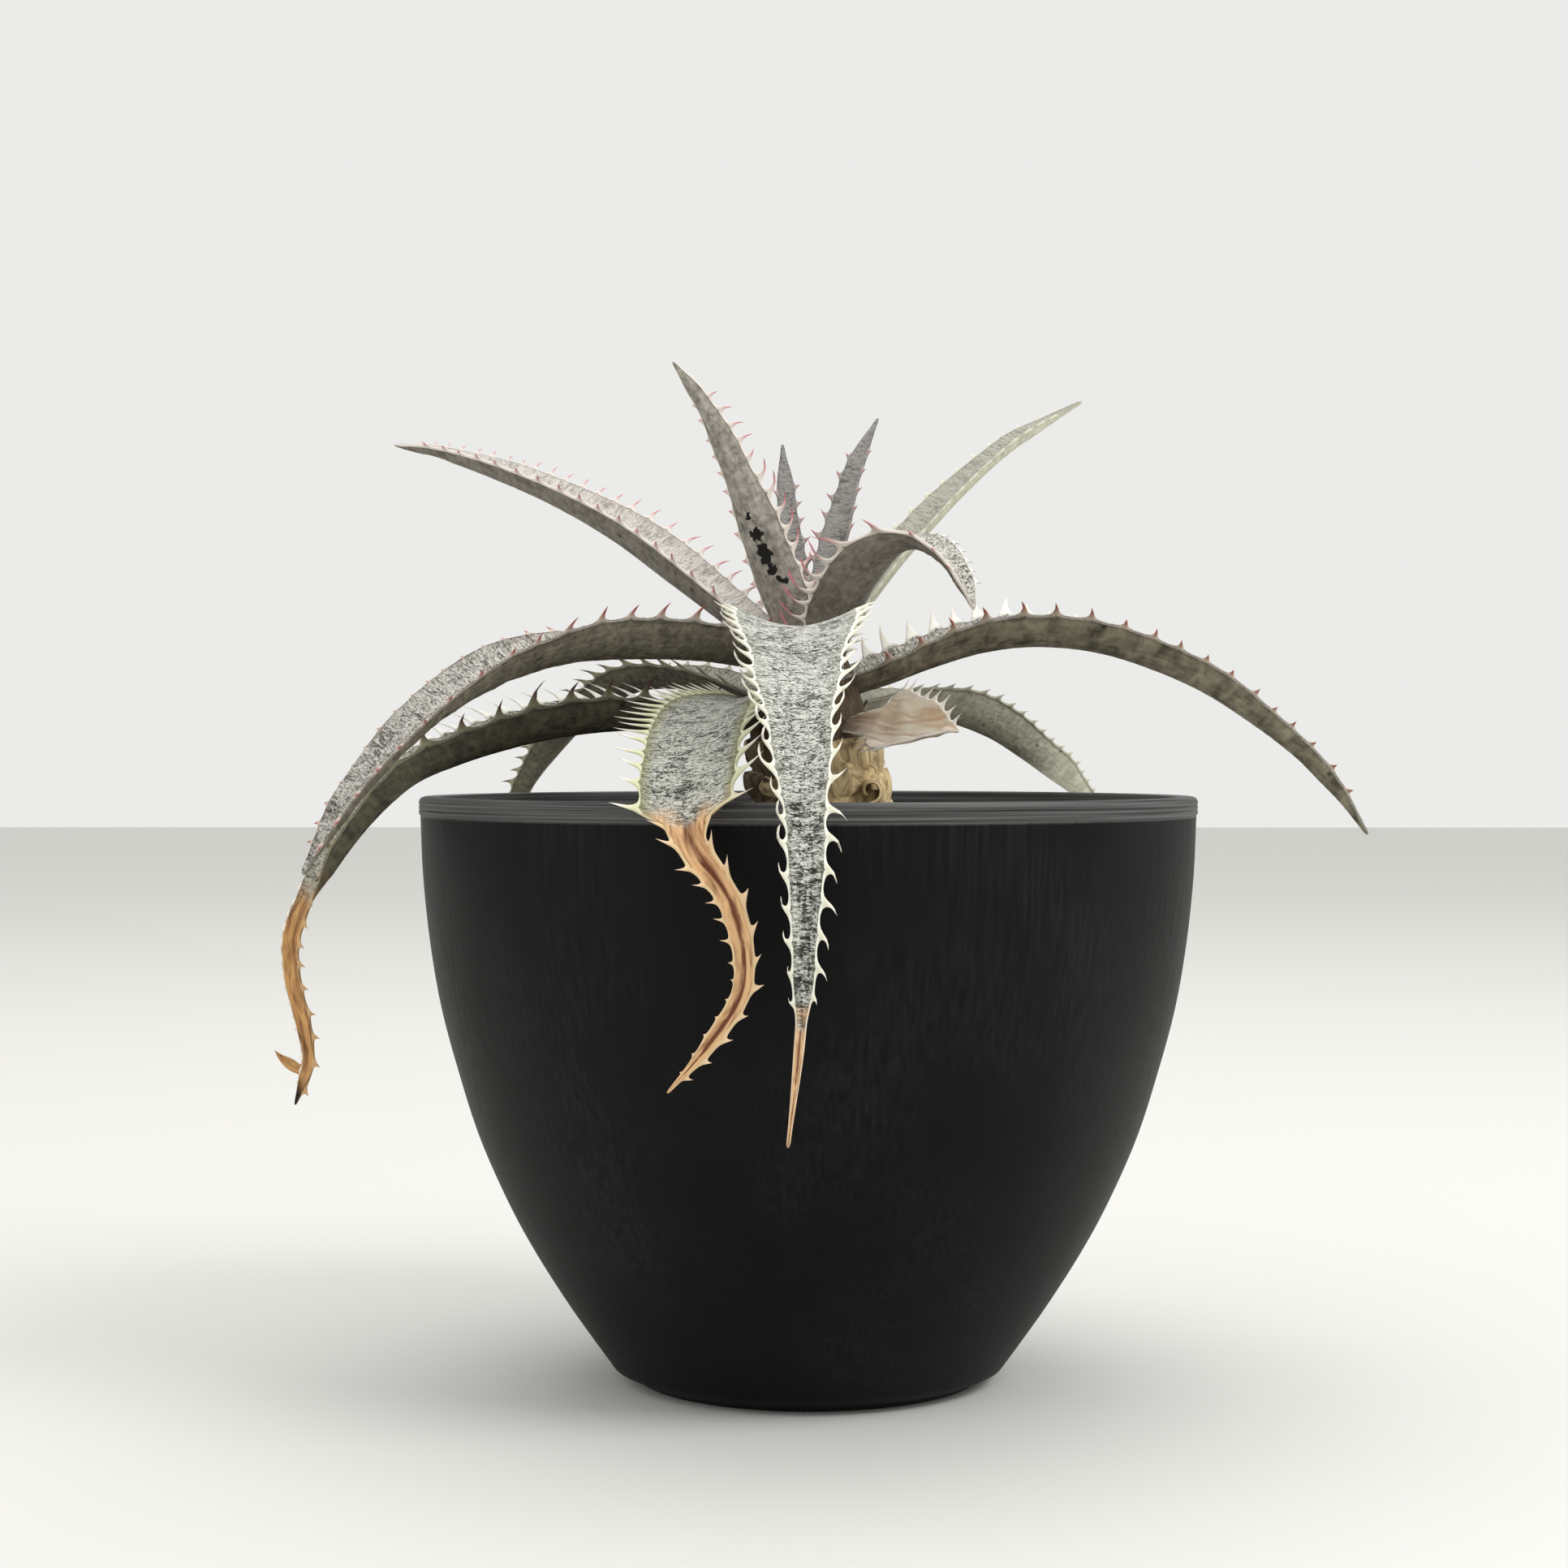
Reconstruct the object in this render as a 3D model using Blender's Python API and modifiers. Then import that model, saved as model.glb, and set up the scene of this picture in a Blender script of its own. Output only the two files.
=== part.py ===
"""A dyckia bromeliad in its black plastic pot, as separate solids at their real size.

Lengths below are millimetres, turned to metres by MM. The origin is the middle of the pot's underside,
+Z is up and the front of the plant faces -Y.
"""

import math
from dataclasses import dataclass, field

import bmesh
import bpy
import numpy as np
from mathutils import Matrix, Vector, noise

MM = 0.001

# Driving dimensions of the pot, in millimetres
POT_HEIGHT = 112.5
POT_RIM_RADIUS = 75.0
POT_WALL = 2.6
RIM_BAND_HEIGHT = 3.4
RIM_BAND_PROUD = 0.4
RIM_THICKNESS = 4.0
POT_FLOOR = 3.5
POT_STEPS = 44

# Driving dimensions of the planting
SOIL_TOP = 101.5
SOIL_LUMP = 1.2
SOIL_GAP = 0.5
STEM_RADIUS = 12.5
STEM_RIDGE = 0.5
RIDGED_TOP = 119.0
STEM_SIDES = 22
STEM_SPANS = 13
STEM_HOLE_DEPTH = 9.0
STEM_CENTRE_X = 3.5
CROWN_TOP = 148.0
CLEARANCE = 0.3
ROOT_TRAVEL = 9.0

# The stem and the crown's core: height and radius there
CROWN_PROFILE = (
    (SOIL_TOP - STEM_HOLE_DEPTH + CLEARANCE, 11.0), (108.0, STEM_RADIUS), (120.0, STEM_RADIUS), (128.0, 11.4),
    (134.0, 9.6), (140.0, 7.2), (144.0, 5.6), (CROWN_TOP, 3.6),
)

# Spine and blade limits
BLADE_EDGE = 0.8
TIP_HALF_WIDTH = 0.5
SPINE_BASE = 2.3
PATH_SAMPLES = 24

# The pot's outer side: depth under the rim plane and radius there
POT_SIDE = (
    (4.0, 74.7), (15.3, 74.2), (27.8, 72.9), (40.2, 70.8), (52.7, 67.5), (65.3, 63.5),
    (77.9, 58.0), (87.4, 52.9), (97.0, 46.9), (104.5, 41.7), (109.8, 37.9),
)
POT_FOOT_RADIUS = 33.5


@dataclass(frozen=True)
class Finish:
    """A plain finish: linear colour, roughness and metallic share."""

    name: str
    colour: tuple
    roughness: float
    metallic: float = 0.0


CHARCOAL_PLASTIC = Finish("charcoal_plastic", (0.012, 0.012, 0.013), 0.5)
POTTING_SOIL = Finish("potting_soil", (0.030, 0.021, 0.015), 0.95)
DRY_LEAF_BASE = Finish("dry_leaf_base", (0.235, 0.145, 0.075), 0.8)
SILVER_SCURF = Finish("silver_scurf", (0.36, 0.37, 0.33), 0.75)
BARE_UNDERSIDE = Finish("bare_underside", (0.17, 0.155, 0.135), 0.6)
DRY_BROWN = Finish("dry_brown", (0.34, 0.20, 0.14), 0.8)


@dataclass(frozen=True)
class Leaf:
    """One tapering leaf: its middle line from root to tip, and how it is spread about that line.

    facing is the compass angle, in degrees from +X, that the underside looks to at the root. The
    keyed values are pairs of a share of the length and a value there.
    """

    name: str
    facing: float
    path: tuple
    width: tuple
    thickness: float
    pitch: float
    spine: float
    channel: tuple = ((0.0, 0.5), (1.0, 0.3))
    twist: tuple = ((0.0, 0.0), (1.0, 0.0))
    lean: tuple = ((0.0, 0.5), (1.0, 0.5))
    first_spine: float = 9.0
    bare_tip: float = 5.0
    finish: Finish = field(default=SILVER_SCURF)


LEAVES = (
    Leaf(
        "leaf_front", 270.0,
        ((-1, -9, 135), (-1.5, -26, 140.5), (-2, -44, 143.2), (-2, -60, 140.3), (-1.7, -74, 131.5),
         (-1, -84, 120.5), (-0.3, -91, 106), (-0.5, -93, 94), (-0.8, -92, 82), (-1.6, -89.5, 71),
         (-3.3, -85, 55.7)),
        ((0, 7), (0.1, 15), (0.3, 21), (0.42, 14.5), (0.52, 9.5), (0.65, 5.8), (0.8, 3.4), (0.88, 1.6), (1, 1)),
        2.2, 6.6, 4.6,
        channel=((0, 0.35), (0.3, 0.12), (1, 0.25)), lean=((0, -0.4), (0.42, -0.5), (0.6, 0.6), (1, 0.8)),
        bare_tip=26.0,
    ),
    Leaf(
        "leaf_front_left", 248.0,
        ((-5, -12.5, 128.3), (-10.5, -26, 129.6), (-16, -42, 129.4), (-18.7, -58, 125), (-19.8, -70, 118),
         (-20, -77, 111.5), (-19, -81.5, 105.5), (-15.6, -84, 101), (-12.2, -85.5, 95.5), (-10.4, -86, 87.5),
         (-11.2, -86, 80.5), (-16.8, -85.5, 72), (-23.3, -84, 64.6)),
        ((0, 7), (0.12, 13), (0.3, 18), (0.44, 18), (0.52, 14), (0.58, 5), (0.7, 3.8), (0.88, 3), (1, 1)),
        2.2, 5.2, 4.2,
        channel=((0, 0.35), (0.35, 0.15), (0.56, 0.6), (1, 0.5)), twist=((0, 0), (0.3, 6), (0.6, -4), (1, 20)),
        lean=((0, -0.4), (0.45, -0.3), (0.6, 0.7), (1, 0.7)),
    ),
    Leaf(
        "leaf_left_upper", 212.0,
        ((-8.5, -5, 138.5), (-19, -12, 140), (-30.5, -20, 140.2), (-42, -28, 139.4), (-52, -35, 136.8),
         (-60, -41, 132.8), (-67.5, -46, 127.4), (-75, -50, 119.8), (-81, -52, 112.5), (-85.5, -53, 105.5),
         (-89, -53, 99.4)),
        ((0, 7), (0.1, 12.5), (0.25, 15), (0.5, 14.5), (0.7, 10), (0.85, 6.5), (1, 1)),
        2.2, 7.2, 3.2, channel=((0, 0.5), (0.3, 0.6), (1, 0.35)), twist=((0, -8), (0.4, -10), (1, -6)),
        first_spine=12.0,
    ),
    Leaf(
        "leaf_left_lower", 194.0,
        ((-12.5, -3.2, 126.6), (-21.5, -4.5, 126.8), (-35, -7, 126.8), (-46, -10, 125.7), (-56.5, -13, 123.4),
         (-66.5, -16, 120.2), (-75, -18, 116.3), (-82.5, -20, 109.5), (-89, -22, 101), (-94, -23, 92.5),
         (-96.2, -24, 85.5), (-95.7, -24, 78), (-93.8, -24, 70), (-93.2, -24, 63), (-95.6, -24, 55.2)),
        ((0, 7), (0.1, 12), (0.22, 15.5), (0.45, 13), (0.64, 6.5), (0.72, 3.4), (0.95, 2.8), (1, 1)),
        2.2, 7.0, 3.8,
        channel=((0, 0.5), (0.3, 0.6), (1, 0.4)), finish=BARE_UNDERSIDE,
    ),
    Leaf(
        "leaf_left_high", 160.0,
        ((-8.5, 2.5, 142), (-17.5, 8, 149), (-27.4, 14, 156.6), (-38.5, 20, 165), (-52, 26, 173),
         (-67, 32, 179.8), (-76.5, 36, 183.2), (-86.2, 40, 184.9)),
        ((0, 5.5), (0.12, 10), (0.3, 13), (0.7, 9.5), (0.92, 3.4), (1, 1)),
        2.0, 5.6, 3.0, channel=((0, 0.5), (0.3, 0.6), (1, 0.3)), twist=((0, -8), (0.5, -14), (1, -10)),
        first_spine=12.0,
    ),
    Leaf(
        "leaf_upright_left", 252.0,
        ((-3.6, -6, 147), (-5.6, -6.6, 152.5), (-8.7, -7.5, 161), (-11.4, -9, 168.6), (-14.5, -11, 176),
         (-18.4, -13.5, 184.3), (-22.3, -16, 190.3), (-25.4, -18, 194.3)),
        ((0, 5), (0.12, 8.5), (0.3, 8.5), (0.6, 5.5), (0.85, 3), (1, 1)),
        1.8, 5.4, 2.8, channel=((0, 0.5), (1, 0.3)), first_spine=10.0, finish=BARE_UNDERSIDE,
    ),
    Leaf(
        "leaf_upright_back", 110.0,
        ((-1.6, 4.6, 150), (-3, 8, 156), (-4, 11, 164.5), (-4.5, 13, 173), (-5.1, 15, 182.3)),
        ((0, 3.6), (0.3, 5.2), (0.7, 3.2), (1, 1)),
        1.5, 5.0, 2.2, channel=((0, 0.4), (1, 0.2)), first_spine=7.0,
    ),
    Leaf(
        "leaf_upright_right", 62.0,
        ((2.6, 3, 150.5), (4, 5.5, 156), (6.2, 9, 165.3), (8.6, 12, 175), (11.2, 14, 181.8), (14, 16, 187.6)),
        ((0, 3.6), (0.3, 5.6), (0.7, 3.6), (1, 1)),
        1.5, 5.4, 2.2, channel=((0, 0.4), (1, 0.2)), first_spine=7.0,
    ),
    Leaf(
        "leaf_back_high", 45.0,
        ((6.6, 6.6, 143.5), (11.5, 14, 151.5), (20, 24, 162.5), (31, 36, 174.9), (42, 47, 185.3),
         (51, 55, 191.4), (58.7, 60, 196.1)),
        ((0, 5.5), (0.15, 9), (0.4, 8), (0.75, 5.2), (1, 1)),
        1.8, 6.6, 2.6, channel=((0, 0.5), (1, 0.4)), first_spine=12.0,
    ),
    Leaf(
        "leaf_folded", 318.0,
        ((5.6, -5.6, 142.8), (7.2, -8.5, 148), (10.5, -13, 154), (15, -17, 159), (20.5, -20.5, 160.2),
         (25.6, -23, 157.2), (29, -24.5, 152), (30.8, -25, 147.3)),
        ((0, 6), (0.14, 14), (0.36, 16), (0.65, 9.5), (0.85, 5), (1, 1)),
        1.8, 4.2, 3.0, channel=((0, 0.4), (0.5, 0.3), (1, 0.3)), first_spine=8.0, bare_tip=3.5,
        finish=BARE_UNDERSIDE,
    ),
    Leaf(
        "leaf_right", 7.0,
        ((9.3, 0.6, 134), (15.5, 2, 136), (24, 4, 139.2), (34.2, 6, 142.2), (44.7, 8, 143.4),
         (56, 10, 142.6), (66.7, 12, 139.8), (78.2, 13, 135), (88, 14, 129), (97.7, 14, 121.6),
         (105.4, 14, 113.2), (111.3, 14, 104.6)),
        ((0, 6.5), (0.08, 12), (0.2, 14.5), (0.6, 10.5), (0.85, 5.5), (1, 1)),
        2.2, 6.6, 3.2, channel=((0, 0.5), (0.3, 0.6), (1, 0.35)), twist=((0, 12), (0.3, 8), (0.6, 0), (1, 0)),
        first_spine=12.0,
    ),
    Leaf(
        "leaf_back_right", 47.0,
        ((10.5, 10, 128), (18, 18.5, 129.6), (28.4, 30, 128.8), (38.6, 42, 125.4), (46.6, 52, 120.8),
         (53.2, 60.5, 116.4), (58.6, 68.5, 112.6), (63, 76, 106.6)),
        ((0, 7), (0.12, 12), (0.3, 15), (0.7, 10), (0.9, 5), (1, 1)),
        2.0, 7.0, 3.2, channel=((0, 0.6), (1, 0.5)), first_spine=12.0, finish=BARE_UNDERSIDE,
    ),
    Leaf(
        "leaf_back_left", 134.0,
        ((-8.5, 9.3, 129.8), (-20.5, 20, 134.3), (-32.6, 32, 135.4), (-42, 44, 132.4), (-50, 54, 126.6),
         (-56.5, 62.5, 120.2), (-61.6, 70.5, 114), (-65.5, 77, 106.6)),
        ((0, 7), (0.12, 11), (0.3, 13), (0.7, 8.5), (0.9, 5), (1, 1)),
        2.0, 7.0, 3.4, channel=((0, 0.5), (1, 0.35)), first_spine=12.0,
    ),
    Leaf(
        "dead_leaf", 306.0,
        ((10.6, -9.6, 122), (14, -14.5, 124.2), (18.5, -21.5, 125.8), (23.5, -29, 125.8), (28, -35, 124.2)),
        ((0, 8), (0.3, 14), (0.7, 11), (1, 1)),
        1.2, 4.6, 2.4, channel=((0, 0.2), (1, 0.5)), twist=((0, 8), (0.5, 18), (1, 12)), first_spine=8.0,
        finish=DRY_BROWN,
    ),
)

# Old, dried leaf bases on the stem: compass angle, height of the root, length, lean outwards and width
OLD_BASES = (
    (285.0, 106.0, 12.0, 20.0, 11.0),
    (330.0, 105.0, 11.0, 24.0, 10.0),
    (15.0, 108.0, 12.0, 14.0, 10.0),
    (75.0, 106.0, 14.0, 22.0, 11.0),
    (130.0, 107.0, 14.0, 22.0, 11.0),
    (185.0, 106.0, 13.0, 20.0, 11.0),
    (236.0, 107.0, 14.0, 20.0, 11.0),
)

# Ring of a leaf's section: share of the half width, and whether the point is on the upper face
SECTION = ((1.0, True), (0.0, True), (-1.0, True), (-1.0, False), (-0.5, False), (0.5, False), (1.0, False))
LEFT_MARGIN = {2, 3}
RIGHT_MARGIN = {6, 0}


def clear_scene():
    """Remove what the scene holds at the start."""
    for obj in list(bpy.data.objects):
        bpy.data.objects.remove(obj, do_unlink=True)


def collection_named(name):
    """Make a collection and link it to the scene."""
    made = bpy.data.collections.new(name)
    bpy.context.scene.collection.children.link(made)
    return made


def material_of(finish):
    """Make the Principled material of a finish, once."""
    found = bpy.data.materials.get(finish.name)
    if found:
        return found
    made = bpy.data.materials.new(finish.name)
    made.use_nodes = True
    shader = made.node_tree.nodes["Principled BSDF"]
    shader.inputs["Base Color"].default_value = (*finish.colour, 1.0)
    shader.inputs["Roughness"].default_value = finish.roughness
    shader.inputs["Metallic"].default_value = finish.metallic
    return made


def add_object(name, mesh, finish, collection):
    """Link a mesh as a smooth-shaded object with its own finish."""
    mesh.shade_smooth()
    mesh.set_sharp_from_angle(angle=math.radians(40))
    mesh.materials.append(material_of(finish))
    obj = bpy.data.objects.new(name, mesh)
    collection.objects.link(obj)
    return obj


def turned(name, profile, steps, finish, collection):
    """Turn a profile of radius and height pairs about the Z axis, outer side first and top to bottom."""
    bm = bmesh.new()
    points = [bm.verts.new((radius * MM, 0.0, height * MM)) for radius, height in profile]
    for upper, lower in zip(points, points[1:]):
        bm.edges.new((upper, lower))
    mesh = bpy.data.meshes.new(name)
    bm.to_mesh(mesh)
    bm.free()
    obj = add_object(name, mesh, finish, collection)
    screw = obj.modifiers.new("turn", "SCREW")
    screw.steps = steps
    screw.render_steps = steps
    screw.use_merge_vertices = True
    screw.merge_threshold = 0.00005
    return obj


def pot_radius(depth):
    """Outer radius of the pot at a depth under the rim plane."""
    return float(np.interp(depth, [d for d, _ in POT_SIDE], [r for _, r in POT_SIDE]))


def inner_radius(height):
    """Radius of the pot's inside at a height over the surface it stands on."""
    return pot_radius(POT_HEIGHT - height) - POT_WALL


def inner_side():
    """Depth under the rim plane and radius of the points down the pot's inside, over its floor."""
    lowest = POT_HEIGHT - POT_FLOOR - 3.0
    return [(depth, radius - POT_WALL) for depth, radius in POT_SIDE[1:] if depth < lowest]


def build_pot(collection):
    """The turned pot: a thin rounded cup with a slightly proud band at its rim."""
    rim_inner = POT_RIM_RADIUS - RIM_THICKNESS
    band_low = POT_HEIGHT - RIM_BAND_HEIGHT
    outside = [
        (rim_inner + 0.8, POT_HEIGHT),
        (POT_RIM_RADIUS - 1.2, POT_HEIGHT),
        (POT_RIM_RADIUS, POT_HEIGHT - 1.4),
        (POT_RIM_RADIUS, band_low),
        (POT_RIM_RADIUS - RIM_BAND_PROUD, band_low - 0.4),
    ]
    outside += [(radius, POT_HEIGHT - depth) for depth, radius in POT_SIDE[1:]]
    outside += [(POT_FOOT_RADIUS + 2.2, 0.9), (POT_FOOT_RADIUS, 0.0), (0.0, 0.0)]
    inside = [(0.0, POT_FLOOR), (inner_radius(POT_FLOOR) - 2.0, POT_FLOOR)]
    inside += [(radius, POT_HEIGHT - depth) for depth, radius in reversed(inner_side())]
    inside += [(rim_inner, POT_HEIGHT - 5.0), (rim_inner, POT_HEIGHT - 0.8), (rim_inner + 0.8, POT_HEIGHT)]
    return turned("pot", outside + inside, POT_STEPS, CHARCOAL_PLASTIC, collection)


def soil_lump(point):
    """Rise or fall of the soil's surface at a point of it."""
    return SOIL_LUMP * noise.noise(Vector((point.x / 0.009, point.y / 0.009, 0.3)))


def applied(obj):
    """Replace an object's mesh by what its modifiers make of it."""
    graph = bpy.context.evaluated_depsgraph_get()
    mesh = bpy.data.meshes.new_from_object(obj.evaluated_get(graph))
    obj.modifiers.clear()
    obj.data = mesh
    return mesh


def build_soil(collection, cutters):
    """Potting mix that fills the pot, with an uneven top and a plain hole for the stem."""
    inside = inner_radius(SOIL_TOP) - SOIL_GAP
    depths = [depth for depth, _ in inner_side() if depth > POT_HEIGHT - SOIL_TOP + 1.0]
    profile = [(0.0, SOIL_TOP + 1.0), (20.0, SOIL_TOP + 1.0), (30.0, SOIL_TOP + 0.8), (43.0, SOIL_TOP + 0.3)]
    profile += [(57.0, SOIL_TOP), (inside, SOIL_TOP - 0.4)]
    profile += [(inner_radius(POT_HEIGHT - depth) - SOIL_GAP, POT_HEIGHT - depth) for depth in depths]
    profile += [(inner_radius(POT_FLOOR) - 3.2, POT_FLOOR + SOIL_GAP), (0.0, POT_FLOOR + SOIL_GAP)]
    soil = turned("soil", profile, POT_STEPS, POTTING_SOIL, collection)
    for vertex in applied(soil).vertices:
        if vertex.co.z > (SOIL_TOP - 0.2) * MM:
            vertex.co.z += soil_lump(vertex.co) * MM
    bm = bmesh.new()
    depth = STEM_HOLE_DEPTH * 2
    radius = (STEM_RADIUS + STEM_RIDGE + CLEARANCE) * MM
    place = Matrix.Translation(Vector((STEM_CENTRE_X, 0.0, SOIL_TOP - STEM_HOLE_DEPTH + depth / 2)) * MM)
    bmesh.ops.create_cone(
        bm, cap_ends=True, segments=STEM_SIDES, radius1=radius, radius2=radius, depth=depth * MM, matrix=place
    )
    mesh = bpy.data.meshes.new("stem_hole")
    bm.to_mesh(mesh)
    bm.free()
    cutter = add_object("stem_hole", mesh, POTTING_SOIL, cutters)
    cutter.hide_render = True
    cutter.display_type = "WIRE"
    hole = soil.modifiers.new("stem hole", "BOOLEAN")
    hole.operation = "DIFFERENCE"
    hole.object = cutter
    return soil


def smooth_path(points):
    """Catmull-Rom curve through the points, as samples in metres and their distance along it."""
    ends = [2 * Vector(points[0]) - Vector(points[1]), *map(Vector, points)]
    ends.append(2 * Vector(points[-1]) - Vector(points[-2]))
    samples = []
    for a, b, c, d in zip(ends, ends[1:], ends[2:], ends[3:]):
        for step in range(PATH_SAMPLES):
            t = step / PATH_SAMPLES
            samples.append(
                0.5 * (2 * b + (c - a) * t + (2 * a - 5 * b + 4 * c - d) * t**2 + (3 * b - a - 3 * c + d) * t**3)
            )
    samples.append(Vector(points[-1]))
    line = np.array(samples)
    along = np.concatenate([[0.0], np.cumsum(np.linalg.norm(np.diff(line, axis=0), axis=1))])
    return line, along


def keyed(keys, share):
    """Value at a share of the length, eased between the keys."""
    for (low, first), (high, second) in zip(keys, keys[1:]):
        if share <= high:
            t = (share - low) / (high - low)
            return first + (second - first) * t * t * (3 - 2 * t)
    return keys[-1][1]


class Blade:
    """The shape of a leaf: where any point of its section lies along its middle line."""

    def __init__(self, leaf):
        self.leaf = leaf
        angle = math.radians(leaf.facing)
        self.side = Vector((-math.sin(angle), math.cos(angle), 0.0))
        self.follow(leaf.path)

    def follow(self, path):
        """Take a middle line through the points of a path."""
        self.line, self.along = smooth_path(path)
        self.length = float(self.along[-1])

    def seat(self):
        """Move the root along the leaf's first stretch until it all but touches the crown's core."""
        first, second = map(Vector, self.leaf.path[:2])
        inward = (first - second).normalized()
        near, far = -ROOT_TRAVEL, ROOT_TRAVEL
        while far - near > 0.01:
            middle = (near + far) / 2
            self.follow((tuple(first + inward * middle), *self.leaf.path[1:]))
            corners = [self.point(0.0, share, upper) / MM for share, upper in SECTION]
            if min(core_gap(corner) for corner in corners) > CLEARANCE:
                near = middle
            else:
                far = middle

    def at(self, distance):
        """Middle point of the leaf at a distance from its root."""
        return Vector([float(np.interp(distance, self.along, self.line[:, axis])) for axis in range(3)])

    def frame(self, distance):
        """Middle point, heading, side and upper normal at a distance from the root."""
        step = 0.8
        heading = (self.at(min(distance + step, self.length)) - self.at(max(distance - step, 0.0))).normalized()
        side = (self.side - self.side.dot(heading) * heading).normalized()
        turn = math.radians(keyed(self.leaf.twist, distance / self.length))
        side = Matrix.Rotation(turn, 3, heading) @ side
        return self.at(distance), heading, side, heading.cross(side)

    def point(self, distance, share, upper):
        """A point of the section, from -1 at the left margin to 1 at the right one."""
        middle, _, side, normal = self.frame(distance)
        along = distance / self.length
        half = max(keyed(self.leaf.width, along) / 2, TIP_HALF_WIDTH)
        rise = keyed(self.leaf.channel, along) * half * abs(share) ** 1.7
        body = min(self.leaf.thickness, BLADE_EDGE + half * 0.5)
        thick = BLADE_EDGE + (body - BLADE_EDGE) * (1 - share * share)
        lift = rise if upper else rise - thick
        return (middle - side * share * half + normal * lift) * MM

    def stations(self):
        """Distances of the rings, and the first ring of each spine."""
        leaf = self.leaf
        rings, spines = [0.0], []
        if leaf.first_spine > 8.0:
            rings.append(leaf.first_spine / 2)
        centre = leaf.first_spine
        while centre < self.length - leaf.bare_tip:
            spines.append(len(rings))
            rings += [centre - SPINE_BASE / 2, centre + SPINE_BASE / 2]
            centre += leaf.pitch * (1.0 - 0.25 * centre / self.length)
        rest = self.length - rings[-1]
        extra = max(1, round(rest / 7.0))
        rings += [rings[-1] + rest * (i + 1) / extra for i in range(extra)]
        return rings, spines


def raise_spine(bm, face, blade, distance, outward):
    """Draw a margin face out into a short hooked spine, in two steps and a point."""
    leaf = blade.leaf
    share = distance / blade.length
    _, heading, side, normal = blade.frame(distance)
    lean = keyed(leaf.lean, share)
    size = leaf.spine * (1.0 - 0.45 * share)
    out = (side * -outward + normal * 0.35).normalized()
    root = face.calc_center_median()
    middle = root + (out * 0.5 + heading * 0.08 * lean) * size * MM
    tip = root + (out * 0.9 + heading * 0.55 * lean) * size * MM
    first = bmesh.ops.extrude_discrete_faces(bm, faces=[face])["faces"][0]
    for vertex in first.verts:
        vertex.co = middle + (vertex.co - root) * 0.5
    second = bmesh.ops.extrude_discrete_faces(bm, faces=[first])["faces"][0]
    bmesh.ops.pointmerge(bm, verts=second.verts[:], merge_co=tip)


def unit_tube(sides, spans):
    """A closed cylinder of unit radius and length about the origin, cut across into spans."""
    bm = bmesh.new()
    bmesh.ops.create_cone(bm, cap_ends=True, segments=sides, radius1=1.0, radius2=1.0, depth=1.0)
    lengthwise = [edge for edge in bm.edges if abs(edge.verts[0].co.z - edge.verts[1].co.z) > 0.5]
    bmesh.ops.subdivide_edges(bm, edges=lengthwise, cuts=spans - 1, use_grid_fill=True)
    return bm


def blade_mesh(name, blade, rings, spines):
    """Map a subdivided cylinder onto the leaf's rings, then raise its marginal spines."""
    sides, spans = len(SECTION), len(rings) - 1
    bm = unit_tube(sides, spans)
    places = {}
    for vertex in bm.verts:
        ring = round((vertex.co.z + 0.5) * spans)
        corner = round(math.atan2(vertex.co.y, vertex.co.x) / (2 * math.pi) * sides) % sides
        places[vertex] = (ring, corner)
    for vertex, (ring, corner) in places.items():
        share, upper = SECTION[corner]
        vertex.co = blade.point(rings[ring], share, upper)
    margins = {}
    for face in bm.faces:
        found = [places[vertex] for vertex in face.verts]
        if len(found) == 4:
            margins[(min(ring for ring, _ in found), frozenset(corner for _, corner in found))] = face
    for ring in spines:
        distance = (rings[ring] + rings[ring + 1]) / 2
        for corners, outward in ((LEFT_MARGIN, -1.0), (RIGHT_MARGIN, 1.0)):
            raise_spine(bm, margins[(ring, frozenset(corners))], blade, distance, outward)
    bmesh.ops.recalc_face_normals(bm, faces=bm.faces[:])
    mesh = bpy.data.meshes.new(name)
    bm.to_mesh(mesh)
    bm.free()
    return mesh


def build_leaf(leaf, collection):
    """One leaf with its marginal spines in the same body."""
    blade = Blade(leaf)
    blade.seat()
    rings, spines = blade.stations()
    return add_object(leaf.name, blade_mesh(leaf.name, blade, rings, spines), leaf.finish, collection)


def crown_radius(height):
    """Radius of the stem and of the crown's core over it."""
    return float(np.interp(height, [z for z, _ in CROWN_PROFILE], [r for _, r in CROWN_PROFILE]))


def crown_centre(height):
    """Sideways place of the stem's middle, which leans back to the plant's axis at the crown."""
    return float(np.interp(height, (105.0, 128.0), (STEM_CENTRE_X, 0.0)))


def core_gap(point):
    """Distance from a point outside the crown's core to its surface, and below zero inside it."""
    shift = Vector((crown_centre(point.z), 0.0, 0.0))
    reach, height = (point - shift).xy.length, point.z
    if height < CROWN_TOP and reach < crown_radius(height):
        return -1.0
    gaps = []
    rings = [*CROWN_PROFILE, (CROWN_TOP, 0.0)]
    for (low, first), (high, second) in zip(rings, rings[1:]):
        a, b, here = Vector((first, low)), Vector((second, high)), Vector((reach, height))
        share = max(0.0, min(1.0, (here - a).dot(b - a) / (b - a).length_squared))
        gaps.append((here - a - (b - a) * share).length)
    return min(gaps)


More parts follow.
